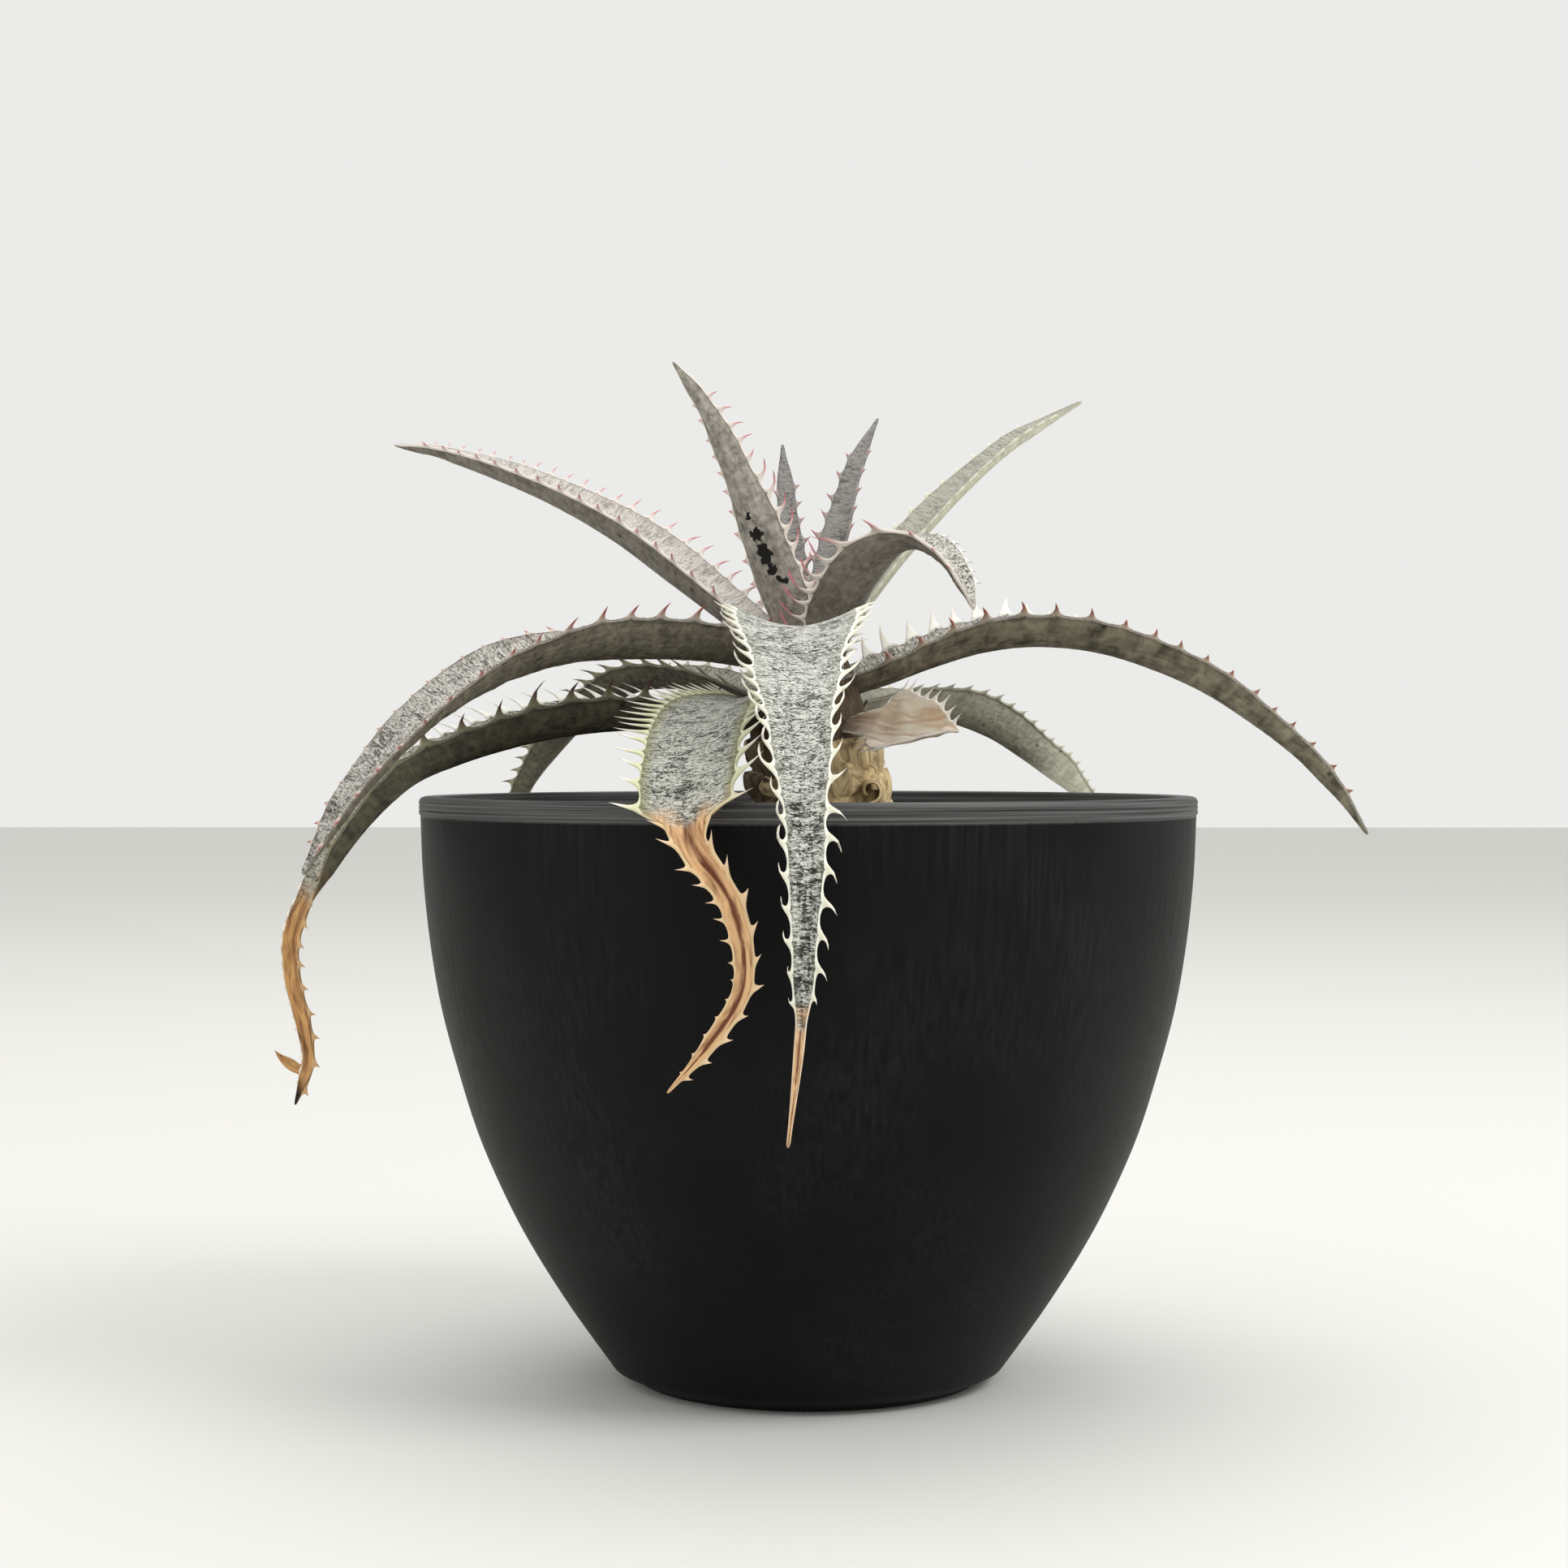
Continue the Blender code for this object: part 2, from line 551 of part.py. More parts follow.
def build_stem(collection):
    """Short stem and crown core, ringed by the dried bases of leaves that have been shed."""
    low = CROWN_PROFILE[0][0]
    bm = unit_tube(STEM_SIDES, STEM_SPANS)
    for vertex in bm.verts:
        height = low + (CROWN_TOP - low) * (vertex.co.z + 0.5)
        ridge = STEM_RIDGE * math.sin(height * 1.1 + 2 * math.atan2(vertex.co.y, vertex.co.x))
        radius = crown_radius(height) + (ridge if SOIL_TOP < height < RIDGED_TOP else 0.0)
        vertex.co = Vector((vertex.co.x * radius + crown_centre(height), vertex.co.y * radius, height)) * MM
    mesh = bpy.data.meshes.new("stem")
    bm.to_mesh(mesh)
    bm.free()
    stem = add_object("stem", mesh, DRY_LEAF_BASE, collection)
    scales = collection_named("old_bases")
    for number, (angle, height, length, lean, width) in enumerate(OLD_BASES, start=1):
        turn, tilt = math.radians(angle), math.radians(lean)
        out = Vector((math.cos(turn), math.sin(turn), 0.0))
        centre = Vector((crown_centre(height), 0.0, height))
        rise = Vector((0.0, 0.0, 1.0)) * math.cos(tilt) + out * math.sin(tilt)
        root = centre + out * (crown_radius(height) - 2.5)
        path = [tuple(root + rise * length * share + out * 1.5 * share**3) for share in (0.0, 0.35, 0.7, 1.0)]
        leaf = Leaf(
            f"old_base_{number}", angle, tuple(path), ((0, width), (0.7, width * 0.8), (1, width * 0.35)), 1.6,
            99.0, 0.0, channel=((0, -0.35), (1, -0.25)), finish=DRY_LEAF_BASE,
        )
        blade = Blade(leaf)
        rings = [blade.length * share for share in (0.0, 0.35, 0.7, 1.0)]
        add_object(leaf.name, blade_mesh(leaf.name, blade, rings, []), DRY_LEAF_BASE, scales)
    join = stem.modifiers.new("join", "BOOLEAN")
    join.operation = "UNION"
    join.operand_type = "COLLECTION"
    join.collection = scales
    applied(stem)
    for scale in list(scales.objects):
        bpy.data.objects.remove(scale, do_unlink=True)
    bpy.data.collections.remove(scales)
    return stem


def main():
    """Build every piece of the potted plant."""
    clear_scene()
    plant = collection_named("dyckia_bromeliad")
    build_pot(plant)
    build_soil(plant, collection_named("cutters"))
    build_stem(plant)
    for leaf in LEAVES:
        build_leaf(leaf, plant)


main()
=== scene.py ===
"""Looks of a dyckia bromeliad in its black pot: fine leaves with hooked spines, pot, stem, soil and studio.

The frame is in metres. Sizes in this file are millimetres unless a name says otherwise, and MM turns
them to metres.
"""

from __future__ import annotations

import logging
import math
from dataclasses import dataclass, field
from enum import Enum

import bpy
import numpy as np
from mathutils import Matrix, Vector


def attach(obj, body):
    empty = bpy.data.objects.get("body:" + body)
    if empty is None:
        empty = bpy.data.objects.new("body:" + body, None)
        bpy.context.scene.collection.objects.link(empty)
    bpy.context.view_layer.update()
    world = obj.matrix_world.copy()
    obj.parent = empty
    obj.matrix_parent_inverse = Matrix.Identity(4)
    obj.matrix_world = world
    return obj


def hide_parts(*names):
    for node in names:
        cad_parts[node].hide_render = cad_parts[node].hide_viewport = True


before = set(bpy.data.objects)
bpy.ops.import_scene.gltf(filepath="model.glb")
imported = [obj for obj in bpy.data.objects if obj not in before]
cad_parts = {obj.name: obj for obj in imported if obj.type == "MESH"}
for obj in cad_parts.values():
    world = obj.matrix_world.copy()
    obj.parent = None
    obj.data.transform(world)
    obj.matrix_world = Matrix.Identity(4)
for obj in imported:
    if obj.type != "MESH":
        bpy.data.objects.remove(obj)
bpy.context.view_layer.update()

LOG = logging.getLogger("dyckia")
MM = 0.001
BODY = "root"

Keys = tuple[tuple[float, float], ...]
Point = tuple[float, float, float]
Marks = dict[str, bpy.types.NodeSocket]

# Large odd numbers that scatter a noise lattice's values.
LATTICE_MIX = (73856093, 19349663, 83492791)
SEED_MIX = 2654435761
VALUE_MIX = 2246822519

# The numbers that each point of a leaf's mesh holds for its material.
LEAF_NUMBERS = ("share", "along", "pale", "under", "tooth", "dry", "heart")


def linear(hex_colour: str) -> tuple[float, float, float, float]:
    """Turn an sRGB hex colour into linear red, green, blue and a full alpha.

    Args:
        hex_colour: six hex digits, with or without a leading hash.

    Returns:
        The colour as Blender's shader sockets take it.
    """
    digits = hex_colour.lstrip("#")
    channels = [int(digits[i : i + 2], 16) / 255 for i in (0, 2, 4)]
    red, green, blue = [c / 12.92 if c <= 0.04045 else ((c + 0.055) / 1.055) ** 2.4 for c in channels]
    return red, green, blue, 1.0


def add_node(
    tree: bpy.types.NodeTree, kind: str, inputs: dict | None = None, output: int | str = 0, **settings: object
) -> bpy.types.NodeSocket:
    """Add a shader node with its settings, values and links.

    Args:
        tree: the material's node tree.
        kind: the node's type, without the ShaderNode prefix.
        inputs: a value, or another node's output to link, for each input's name or place.
        output: the name or place of the output to give back.
        settings: the node's own properties.

    Returns:
        That output of the new node.
    """
    node = tree.nodes.new("ShaderNode" + kind)
    for name, value in settings.items():
        setattr(node, name, value)
    for place, value in (inputs or {}).items():
        if isinstance(value, bpy.types.NodeSocket):
            tree.links.new(value, node.inputs[place])
        else:
            node.inputs[place].default_value = value
    return node.outputs[output]


def new_material(name: str) -> tuple[bpy.types.Material, bpy.types.NodeTree, bpy.types.Node]:
    """Make a material with an empty look.

    Args:
        name: the real material's name.

    Returns:
        The material, its node tree and its Principled shader.
    """
    material = bpy.data.materials.new(name)
    material.use_nodes = True
    tree = material.node_tree
    return material, tree, tree.nodes["Principled BSDF"]


@dataclass(frozen=True)
class LeafTissue:
    """Living dyckia leaf: a fleshy blade under a coat of grey scurf scales, with horny hooked spines.

    The scurf scatters light, so the upper face is pale and dull with short dark wrinkles across it.
    The underside is smoother and darker, with its scales in fine lines along the leaf. Spines and rim
    are bare horn, and shine a little. Where a leaf has withered, its fibres show as straw.

    Real wrinkles in the scurf are about 0.4 mm wide and a withered leaf's fibres about 0.2 mm. Neither
    would show in the render, so they are drawn two to five times as coarse.
    """

    name: str
    slot: str = "scurfy_leaf"
    scurf_light: str = "#c6c7bc"
    scurf_dark: str = "#4c4f45"
    under_light: str = "#8b8678"
    under_dark: str = "#57524a"
    under_freckle: str = "#1d1915"
    # Painted shade on the underside towards the rosette's heart.
    under_painted_shade: str = "#4a3d3a"
    margin_green: str = "#8a8f78"
    margin_tint: float = 0.3
    rim: str = "#e3e1d0"
    rim_start: float = 0.14
    rim_blend: float = 0.16
    spine_root: str = "#d6d9bd"
    spine_tip: str = "#f3ecda"
    pale_horn: str = "#f2f0e8"
    dry_light: str = "#d2a585"
    dry_dark: str = "#7a4a33"
    # Painted shade on withered tissue towards the rosette's heart.
    dry_painted_shade: str = "#2b1a12"
    dry_tip: str = "#1d1612"
    scar: str = "#0b0908"
    scars: tuple[tuple[float, float, float], ...] = ()
    wrinkle_mm: float = 2.4
    crack_depth: float = 0.34
    fibre_mm: float = 0.9
    fibre_length: float = 7.0
    mottle_mm: float = 1.2
    tip_dark: float = 0.0
    outer_wear: float = 0.0
    fold: float = 0.0
    # How strongly withered tissue is painted with shade towards the rosette's heart.
    heart_dark: float = 0.0
    glow_through: float = 0.0
    bump: float = 0.9
    bump_depth: float = 0.0006

    def build(self) -> bpy.types.Material:
        """Make the material from the leaf's own attributes.

        Returns:
            The material, which reads leaf_mm and the LEAF_NUMBERS from the mesh.
        """
        material, tree, shader = new_material(self.name)
        marks = self.read_marks(tree)
        marks["ridge"] = self.scurf_ridges(tree, marks)
        marks["band"] = self.scale_bands(tree, marks)
        upper, lower = self.upper_face(tree, marks), self.underside(tree, marks)
        skin = add_node(tree, "Mix", {0: marks["under"], 6: upper, 7: lower}, 2, data_type="RGBA")
        straw = self.straw(tree, marks)
        skin = add_node(tree, "Mix", {0: marks["dry"], 6: skin, 7: straw}, 2, data_type="RGBA")
        edge = add_node(
            tree, "MapRange", {0: marks["tooth"], 1: self.rim_start, 2: self.rim_start + self.rim_blend}
        )
        skin = add_node(tree, "Mix", {0: edge, 6: skin, 7: self.horn(tree, marks)}, 2, data_type="RGBA")
        skin = self.scar_over(tree, marks, skin)
        tree.links.new(skin, shader.inputs["Base Color"])
        lines = add_node(tree, "Math", {0: marks["band"], 1: 0.3}, operation="MULTIPLY")
        height = add_node(tree, "Mix", {0: marks["under"], 2: marks["ridge"], 3: lines})
        height = add_node(tree, "Mix", {0: marks["dry"], 2: height, 3: marks["straw"]})
        height = add_node(tree, "Mix", {0: edge, 2: height, 3: 0.5})
        relief = {"Strength": self.bump, "Distance": self.bump_depth, "Height": height}
        tree.links.new(add_node(tree, "Bump", relief), shader.inputs["Normal"])
        tree.links.new(add_node(tree, "Mix", {0: edge, 2: 0.82, 3: 0.42}), shader.inputs["Roughness"])
        shader.inputs["Specular IOR Level"].default_value = 0.35
        shader.inputs["Subsurface Weight"].default_value = self.glow_through
        shader.inputs["Subsurface Radius"].default_value = (1.0, 0.75, 0.55)
        shader.inputs["Subsurface Scale"].default_value = 0.004
        return material

    def read_marks(self, tree: bpy.types.NodeTree) -> Marks:
        """Read the leaf's attributes and lay the noise patterns out on it.

        Args:
            tree: the material's node tree.

        Returns:
            The output of each attribute and each pattern, by name.
        """
        marks = {"place": add_node(tree, "Attribute", output="Vector", attribute_name="leaf_mm")}
        for name in LEAF_NUMBERS:
            marks[name] = add_node(tree, "Attribute", output="Fac", attribute_name=name)
        # Each pattern has its grain across and along the leaf in millimetres, its detail and its warp.
        patterns = {
            "wrinkle": ((self.wrinkle_mm, self.wrinkle_mm * 0.36, 1.0), 2.0, 1.4),
            "crack": ((self.wrinkle_mm * 0.8, self.wrinkle_mm * 0.34, 1.0), 2.0, 1.6),
            "fleck": ((0.55, 0.4, 1.0), 2.0, 0.8),
            "cloud": ((4.0, 5.0, 1.0), 3.0, 0.0),
            "streak": ((0.7, 6.0, 1.0), 3.0, 0.3),
            "mottle": ((self.mottle_mm, self.mottle_mm * 1.25, 1.0), 3.0, 0.4),
            "straw": ((self.fibre_mm, self.fibre_mm * self.fibre_length, 1.0), 4.0, 0.8),
        }
        for name, (size, detail, warp) in patterns.items():
            scale = tuple(1.0 / part for part in size)
            scaled = add_node(tree, "Mapping", {"Vector": marks["place"], "Scale": scale})
            settings = {"Vector": scaled, "Scale": 1.0, "Detail": detail, "Distortion": warp}
            marks[name] = add_node(tree, "TexNoise", settings)
        faded = {0: marks["cloud"], 1: 0.6, 2: -0.3}
        marks["cloud"] = add_node(tree, "Math", faded, operation="MULTIPLY_ADD")
        return marks

    def scurf_ridges(self, tree: bpy.types.NodeTree, marks: Marks) -> bpy.types.NodeSocket:
        """Work out the scurf's height: flecked wrinkles, split by thin cracks.

        Args:
            tree: the material's node tree.
            marks: the leaf's attributes and patterns.

        Returns:
            The height.
        """
        crack = add_node(tree, "Math", {0: marks["crack"], 1: 0.5}, operation="SUBTRACT")
        crack = add_node(tree, "Math", {0: crack}, operation="ABSOLUTE")
        crack = add_node(tree, "MapRange", {0: crack, 1: 0.0, 2: 0.05, 3: -self.crack_depth, 4: 0.0})
        flecked = {0: marks["fleck"], 1: 0.6, 2: marks["wrinkle"]}
        ridge = add_node(tree, "Math", flecked, operation="MULTIPLY_ADD")
        return add_node(tree, "Math", {0: ridge, 1: crack}, operation="ADD")

    def scale_bands(self, tree: bpy.types.NodeTree, marks: Marks) -> bpy.types.NodeSocket:
        """Work out the underside's bands of scales, which run along the leaf.

        Args:
            tree: the material's node tree.
            marks: the leaf's attributes and patterns.

        Returns:
            Their strength, from 0 to 1.
        """
        streaked = {0: marks["streak"], 1: 0.5, 2: marks["mottle"]}
        band = add_node(tree, "Math", streaked, operation="MULTIPLY_ADD")
        band = add_node(tree, "Math", {0: band, 1: marks["cloud"]}, operation="ADD")
        return add_node(tree, "MapRange", {0: band, 1: 0.5, 2: 1.0})

    def upper_face(self, tree: bpy.types.NodeTree, marks: Marks) -> bpy.types.NodeSocket:
        """Colour the upper face: pale ridges, cracks and hollows darker, partly the bare tissue under the
        scurf and partly painted shade, and green where the margin's scurf has worn off.

        Args:
            tree: the material's node tree.
            marks: the leaf's attributes and patterns.

        Returns:
            The face's colour.
        """
        # The colour follows the scurf's height, so its low cracks and hollows are partly painted shade.
        tone = add_node(tree, "Math", {0: marks["ridge"], 1: marks["cloud"]}, operation="ADD")
        vein = add_node(tree, "Math", {0: marks["streak"], 1: 0.5}, operation="SUBTRACT")
        vein = add_node(tree, "Math", {0: vein, 1: 0.8, 2: -0.13}, operation="MULTIPLY_ADD")
        outer = add_node(tree, "MapRange", {0: marks["along"], 1: 0.5, 2: 0.72, 4: self.outer_wear})
        tone = add_node(tree, "Math", {0: vein, 1: outer, 2: tone}, operation="MULTIPLY_ADD")
        pale = add_node(tree, "MapRange", {0: tone, 1: 0.5, 2: 0.82})
        scurf = {0: pale, 6: linear(self.scurf_dark), 7: linear(self.scurf_light)}
        colour = add_node(tree, "Mix", scurf, 2, data_type="RGBA")
        fresh = add_node(tree, "MapRange", {0: marks["share"], 1: 0.74, 2: 1.0, 4: self.margin_tint})
        greened = {0: fresh, 6: colour, 7: linear(self.margin_green)}
        return add_node(tree, "Mix", greened, 2, data_type="RGBA")

    def underside(self, tree: bpy.types.NodeTree, marks: Marks) -> bpy.types.NodeSocket:
        """Colour the underside: banded scales, a few dark freckles, and painted shade towards the rosette's
        heart.

        Args:
            tree: the material's node tree.
            marks: the leaf's attributes and patterns.

        Returns:
            The face's colour.
        """
        scales = {0: marks["band"], 6: linear(self.under_dark), 7: linear(self.under_light)}
        colour = add_node(tree, "Mix", scales, 2, data_type="RGBA")
        freckle = add_node(tree, "Mapping", {"Vector": marks["place"], "Scale": (0.3, 0.16, 1.0)})
        freckle = add_node(tree, "TexVoronoi", {"Vector": freckle, "Scale": 1.0}, "Distance")
        freckle = add_node(tree, "MapRange", {0: freckle, 1: 0.05, 2: 0.12, 3: 0.75, 4: 0.0})
        freckled = {0: freckle, 6: colour, 7: linear(self.under_freckle)}
        colour = add_node(tree, "Mix", freckled, 2, data_type="RGBA")
        # Painted shade: the underside darkens towards the rosette's heart, within heart_reach of the root.
        shade = add_node(tree, "Math", {0: marks["heart"], 1: 0.35}, operation="MULTIPLY")
        shaded = {0: shade, 6: colour, 7: linear(self.under_painted_shade)}
        return add_node(tree, "Mix", shaded, 2, data_type="RGBA")

    def straw(self, tree: bpy.types.NodeTree, marks: Marks) -> bpy.types.NodeSocket:
        """Colour withered tissue: fibres along the leaf, a darker fold down its middle, painted shade towards
        the rosette's heart and a dark tip.

        Args:
            tree: the material's node tree.
            marks: the leaf's attributes and patterns.

        Returns:
            The tissue's colour.
        """
        folded = {0: marks["share"], 1: 0.08, 2: 0.4, 3: -self.fold, 4: self.fold * 0.3}
        fold = add_node(tree, "MapRange", folded)
        fibre = add_node(tree, "Math", {0: marks["straw"], 1: fold}, operation="ADD")
        fibre = add_node(tree, "MapRange", {0: fibre, 1: 0.28, 2: 0.62})
        dried = {0: fibre, 6: linear(self.dry_dark), 7: linear(self.dry_light)}
        colour = add_node(tree, "Mix", dried, 2, data_type="RGBA")
        # Painted shade: withered tissue darkens towards the rosette's heart.
        depth = add_node(tree, "Math", {0: marks["heart"], 1: self.heart_dark}, operation="MULTIPLY")
        shaded_straw = {0: depth, 6: colour, 7: linear(self.dry_painted_shade)}
        colour = add_node(tree, "Mix", shaded_straw, 2, data_type="RGBA")
        tip = add_node(tree, "MapRange", {0: marks["along"], 1: 0.955, 2: 0.985, 4: self.tip_dark})
        return add_node(tree, "Mix", {0: tip, 6: colour, 7: linear(self.dry_tip)}, 2, data_type="RGBA")

    def horn(self, tree: bpy.types.NodeTree, marks: Marks) -> bpy.types.NodeSocket:
        """Colour the rim and the spines, from the margin out to their points.

        Args:
            tree: the material's node tree.
            marks: the leaf's attributes and patterns.

        Returns:
            The horn's colour.
        """
        ramp = add_node(tree, "ValToRGB", {0: marks["tooth"]}).node
        stops = ramp.color_ramp.elements
        stops[0].position, stops[1].position = 0.3, 0.75
        stops[0].color, stops[1].color = linear(self.rim), linear(self.spine_tip)
        stops.new(0.45).color = linear(self.spine_root)
        parched = add_node(tree, "Math", {0: marks["dry"], 1: 0.7}, operation="MULTIPLY")
        withered = {0: parched, 6: ramp.outputs[0], 7: linear(self.dry_light)}
        colour = add_node(tree, "Mix", withered, 2, data_type="RGBA")
        bleached = add_node(tree, "Math", {0: marks["pale"], 1: 0.85}, operation="MULTIPLY")
        return add_node(tree, "Mix", {0: bleached, 6: colour, 7: linear(self.pale_horn)}, 2, data_type="RGBA")

    def scar_over(
        self, tree: bpy.types.NodeTree, marks: Marks, skin: bpy.types.NodeSocket
    ) -> bpy.types.NodeSocket:
        """Put black scars with ragged edges on a leaf, on both of its faces.

        Args:
            tree: the material's node tree.
            marks: the leaf's attributes and patterns.
            skin: the colour under the scars.

        Returns:
            The colour with the scars. Each one lies at a distance from the leaf's root and a place across
            it, and has a radius, all in millimetres.
        """
        stretch = 0.8
        soft_edge = 0.06
        for distance, across, radius in self.scars:
            ragged = add_node(tree, "Math", {0: marks["mottle"], 1: 3.2, 2: -1.6}, operation="MULTIPLY_ADD")
            away = (-across, -distance * stretch, 0.0)
            centred = {"Vector": marks["place"], "Location": away, "Scale": (1, stretch, 0)}
            reach = add_node(tree, "Mapping", centred)
            reach = add_node(tree, "VectorMath", {0: reach}, "Value", operation="LENGTH")
            reach = add_node(tree, "Math", {0: reach, 1: ragged}, operation="ADD")
            inside = {0: reach, 1: radius - soft_edge, 2: radius + soft_edge, 3: 1.0, 4: 0.0}
            torn = add_node(tree, "MapRange", inside)
            skin = add_node(tree, "Mix", {0: torn, 6: skin, 7: linear(self.scar)}, 2, data_type="RGBA")
        return skin


@dataclass(frozen=True)
class MouldedPlastic:
    """Black polypropylene, moulded and dull from handling: dark, with a broad soft sheen.

    Faint upright strokes and thin lines round the rim break the sheen, and a few dust specks sit on it. The
    wall's paler patches are wear with a painted sheen, and the rim's band and lines are dust with a painted
    highlight.
    The real lines are finer than 0.1 mm and wouldn't show, so the rim's are drawn 0.3 mm wide and the
    strokes 0.9 mm.
    """

    name: str = "moulded_black_polypropylene"
    deep: str = "#070708"
    # The wall's paler patches: wear, and a painted sheen.
    wear_and_sheen: str = "#1d1d1e"
    # The rim's band and lines: dust, and a painted highlight.
    rim_dust_and_highlight: str = "#777776"
    dust: str = "#b9b6ae"
    rim_height: float = 108.9
    rim_blend: float = 0.4
    speck_spacing: float = 1 / 0.055

    def build(self) -> bpy.types.Material:
        """Make the pot's material on Object coordinates.

        Returns:
            The material.
        """
        material, tree, shader = new_material(self.name)
        marks = self.read_marks(tree)
        colour = self.wear_and_highlight_colour(tree, marks)
        colour = self.dust_over(tree, marks, colour)
        tree.links.new(colour, shader.inputs["Base Color"])
        rough = add_node(tree, "Math", {0: marks["lines"], 1: 0.2, 2: 0.42}, operation="MULTIPLY_ADD")
        tree.links.new(rough, shader.inputs["Roughness"])
        gritty = {0: marks["grit"], 1: 0.6, 2: marks["lines"]}
        relief = add_node(tree, "Math", gritty, operation="MULTIPLY_ADD")
        bump = add_node(tree, "Bump", {"Strength": 0.3, "Distance": 0.0001, "Height": relief})
        tree.links.new(bump, shader.inputs["Normal"])
        shader.inputs["IOR"].default_value = 1.49
        shader.inputs["Specular IOR Level"].default_value = 0.12
        return material

    def read_marks(self, tree: bpy.types.NodeTree) -> Marks:
        """Lay the noise patterns out on the pot and tell its rim from its wall.

        Args:
            tree: the material's node tree.

        Returns:
            The output of each pattern, by name: lines are upright strokes, but rings on the rim.
        """
        place = add_node(tree, "TexCoord", output="Object")
        marks = {"place": add_node(tree, "Mapping", {"Vector": place, "Scale": (1 / MM, 1 / MM, 1 / MM)})}
        # Each pattern has its grain along x, y and z in millimetres, and its detail.
        patterns = {
            "stroke": ((0.9, 0.9, 20.0), 3.0),
            "ring": ((60.0, 60.0, 0.3), 2.0),
            "cloud": ((30.0, 30.0, 40.0), 4.0),
            "grit": ((0.3, 0.3, 0.3), 2.0),
        }
        for name, (size, detail) in patterns.items():
            scale = tuple(1.0 / part for part in size)
            scaled = add_node(tree, "Mapping", {"Vector": marks["place"], "Scale": scale})
            marks[name] = add_node(tree, "TexNoise", {"Vector": scaled, "Scale": 1.0, "Detail": detail})
        height = add_node(tree, "SeparateXYZ", {0: marks["place"]}, "Z")
        band = {0: height, 1: self.rim_height - self.rim_blend, 2: self.rim_height}
        marks["on_rim"] = add_node(tree, "MapRange", band)
        marks["lines"] = add_node(tree, "Mix", {0: marks["on_rim"], 2: marks["stroke"], 3: marks["ring"]})
        return marks

    def wear_and_highlight_colour(self, tree: bpy.types.NodeTree, marks: Marks) -> bpy.types.NodeSocket:
        """Colour the plastic, paler in patches of its wall, wear with a painted sheen, and over its rim band
        and lines, dust with a painted highlight.

        Args:
            tree: the material's node tree.
            marks: the pot's patterns.

        Returns:
            The plastic's colour.
        """
        # Painted sheen: the wall's paler strokes and patches are partly wear and partly a painted sheen.
        strokes = add_node(tree, "MapRange", {0: marks["lines"], 1: 0.35, 2: 0.75})
        patches = add_node(tree, "MapRange", {0: marks["cloud"], 1: 0.42, 2: 0.68})
        shade = add_node(tree, "Math", {0: strokes, 1: patches}, operation="MULTIPLY")
        wall = {0: shade, 6: linear(self.deep), 7: linear(self.wear_and_sheen)}
        colour = add_node(tree, "Mix", wall, 2, data_type="RGBA")
        # Painted highlight: the whole rim band is paler, its lines most, partly dust and partly the light the
        # rounded rim catches.
        rim_dust_and_highlight_mask = add_node(tree, "MapRange", {0: marks["lines"], 1: 0.3, 2: 0.75, 3: 0.12, 4: 0.85})
        rim_dust_and_highlight_mask = add_node(tree, "Math", {0: rim_dust_and_highlight_mask, 1: marks["on_rim"]}, operation="MULTIPLY")
        return add_node(tree, "Mix", {0: rim_dust_and_highlight_mask, 6: colour, 7: linear(self.rim_dust_and_highlight)}, 2, data_type="RGBA")

    def dust_over(
        self, tree: bpy.types.NodeTree, marks: Marks, colour: bpy.types.NodeSocket
    ) -> bpy.types.NodeSocket:
        """Put a dust speck in a few cells of a pattern of cells.

        Args:
            tree: the material's node tree.
            marks: the pot's patterns.
            colour: the colour under the dust.

        Returns:
            The colour with the dust.
        """
        spacing = {"Vector": marks["place"], "Scale": 1 / self.speck_spacing}
        cells = add_node(tree, "TexVoronoi", spacing, "Distance").node
        chosen = add_node(tree, "MapRange", {0: cells.outputs["Color"], 1: 0.86, 2: 0.88})
        speck = {0: cells.outputs["Distance"], 1: 0.013, 2: 0.021, 3: 1.0, 4: 0.0}
        speck = add_node(tree, "MapRange", speck)
        speck = add_node(tree, "Math", {0: speck, 1: chosen}, operation="MULTIPLY")
        return add_node(tree, "Mix", {0: speck, 6: colour, 7: linear(self.dust)}, 2, data_type="RGBA")


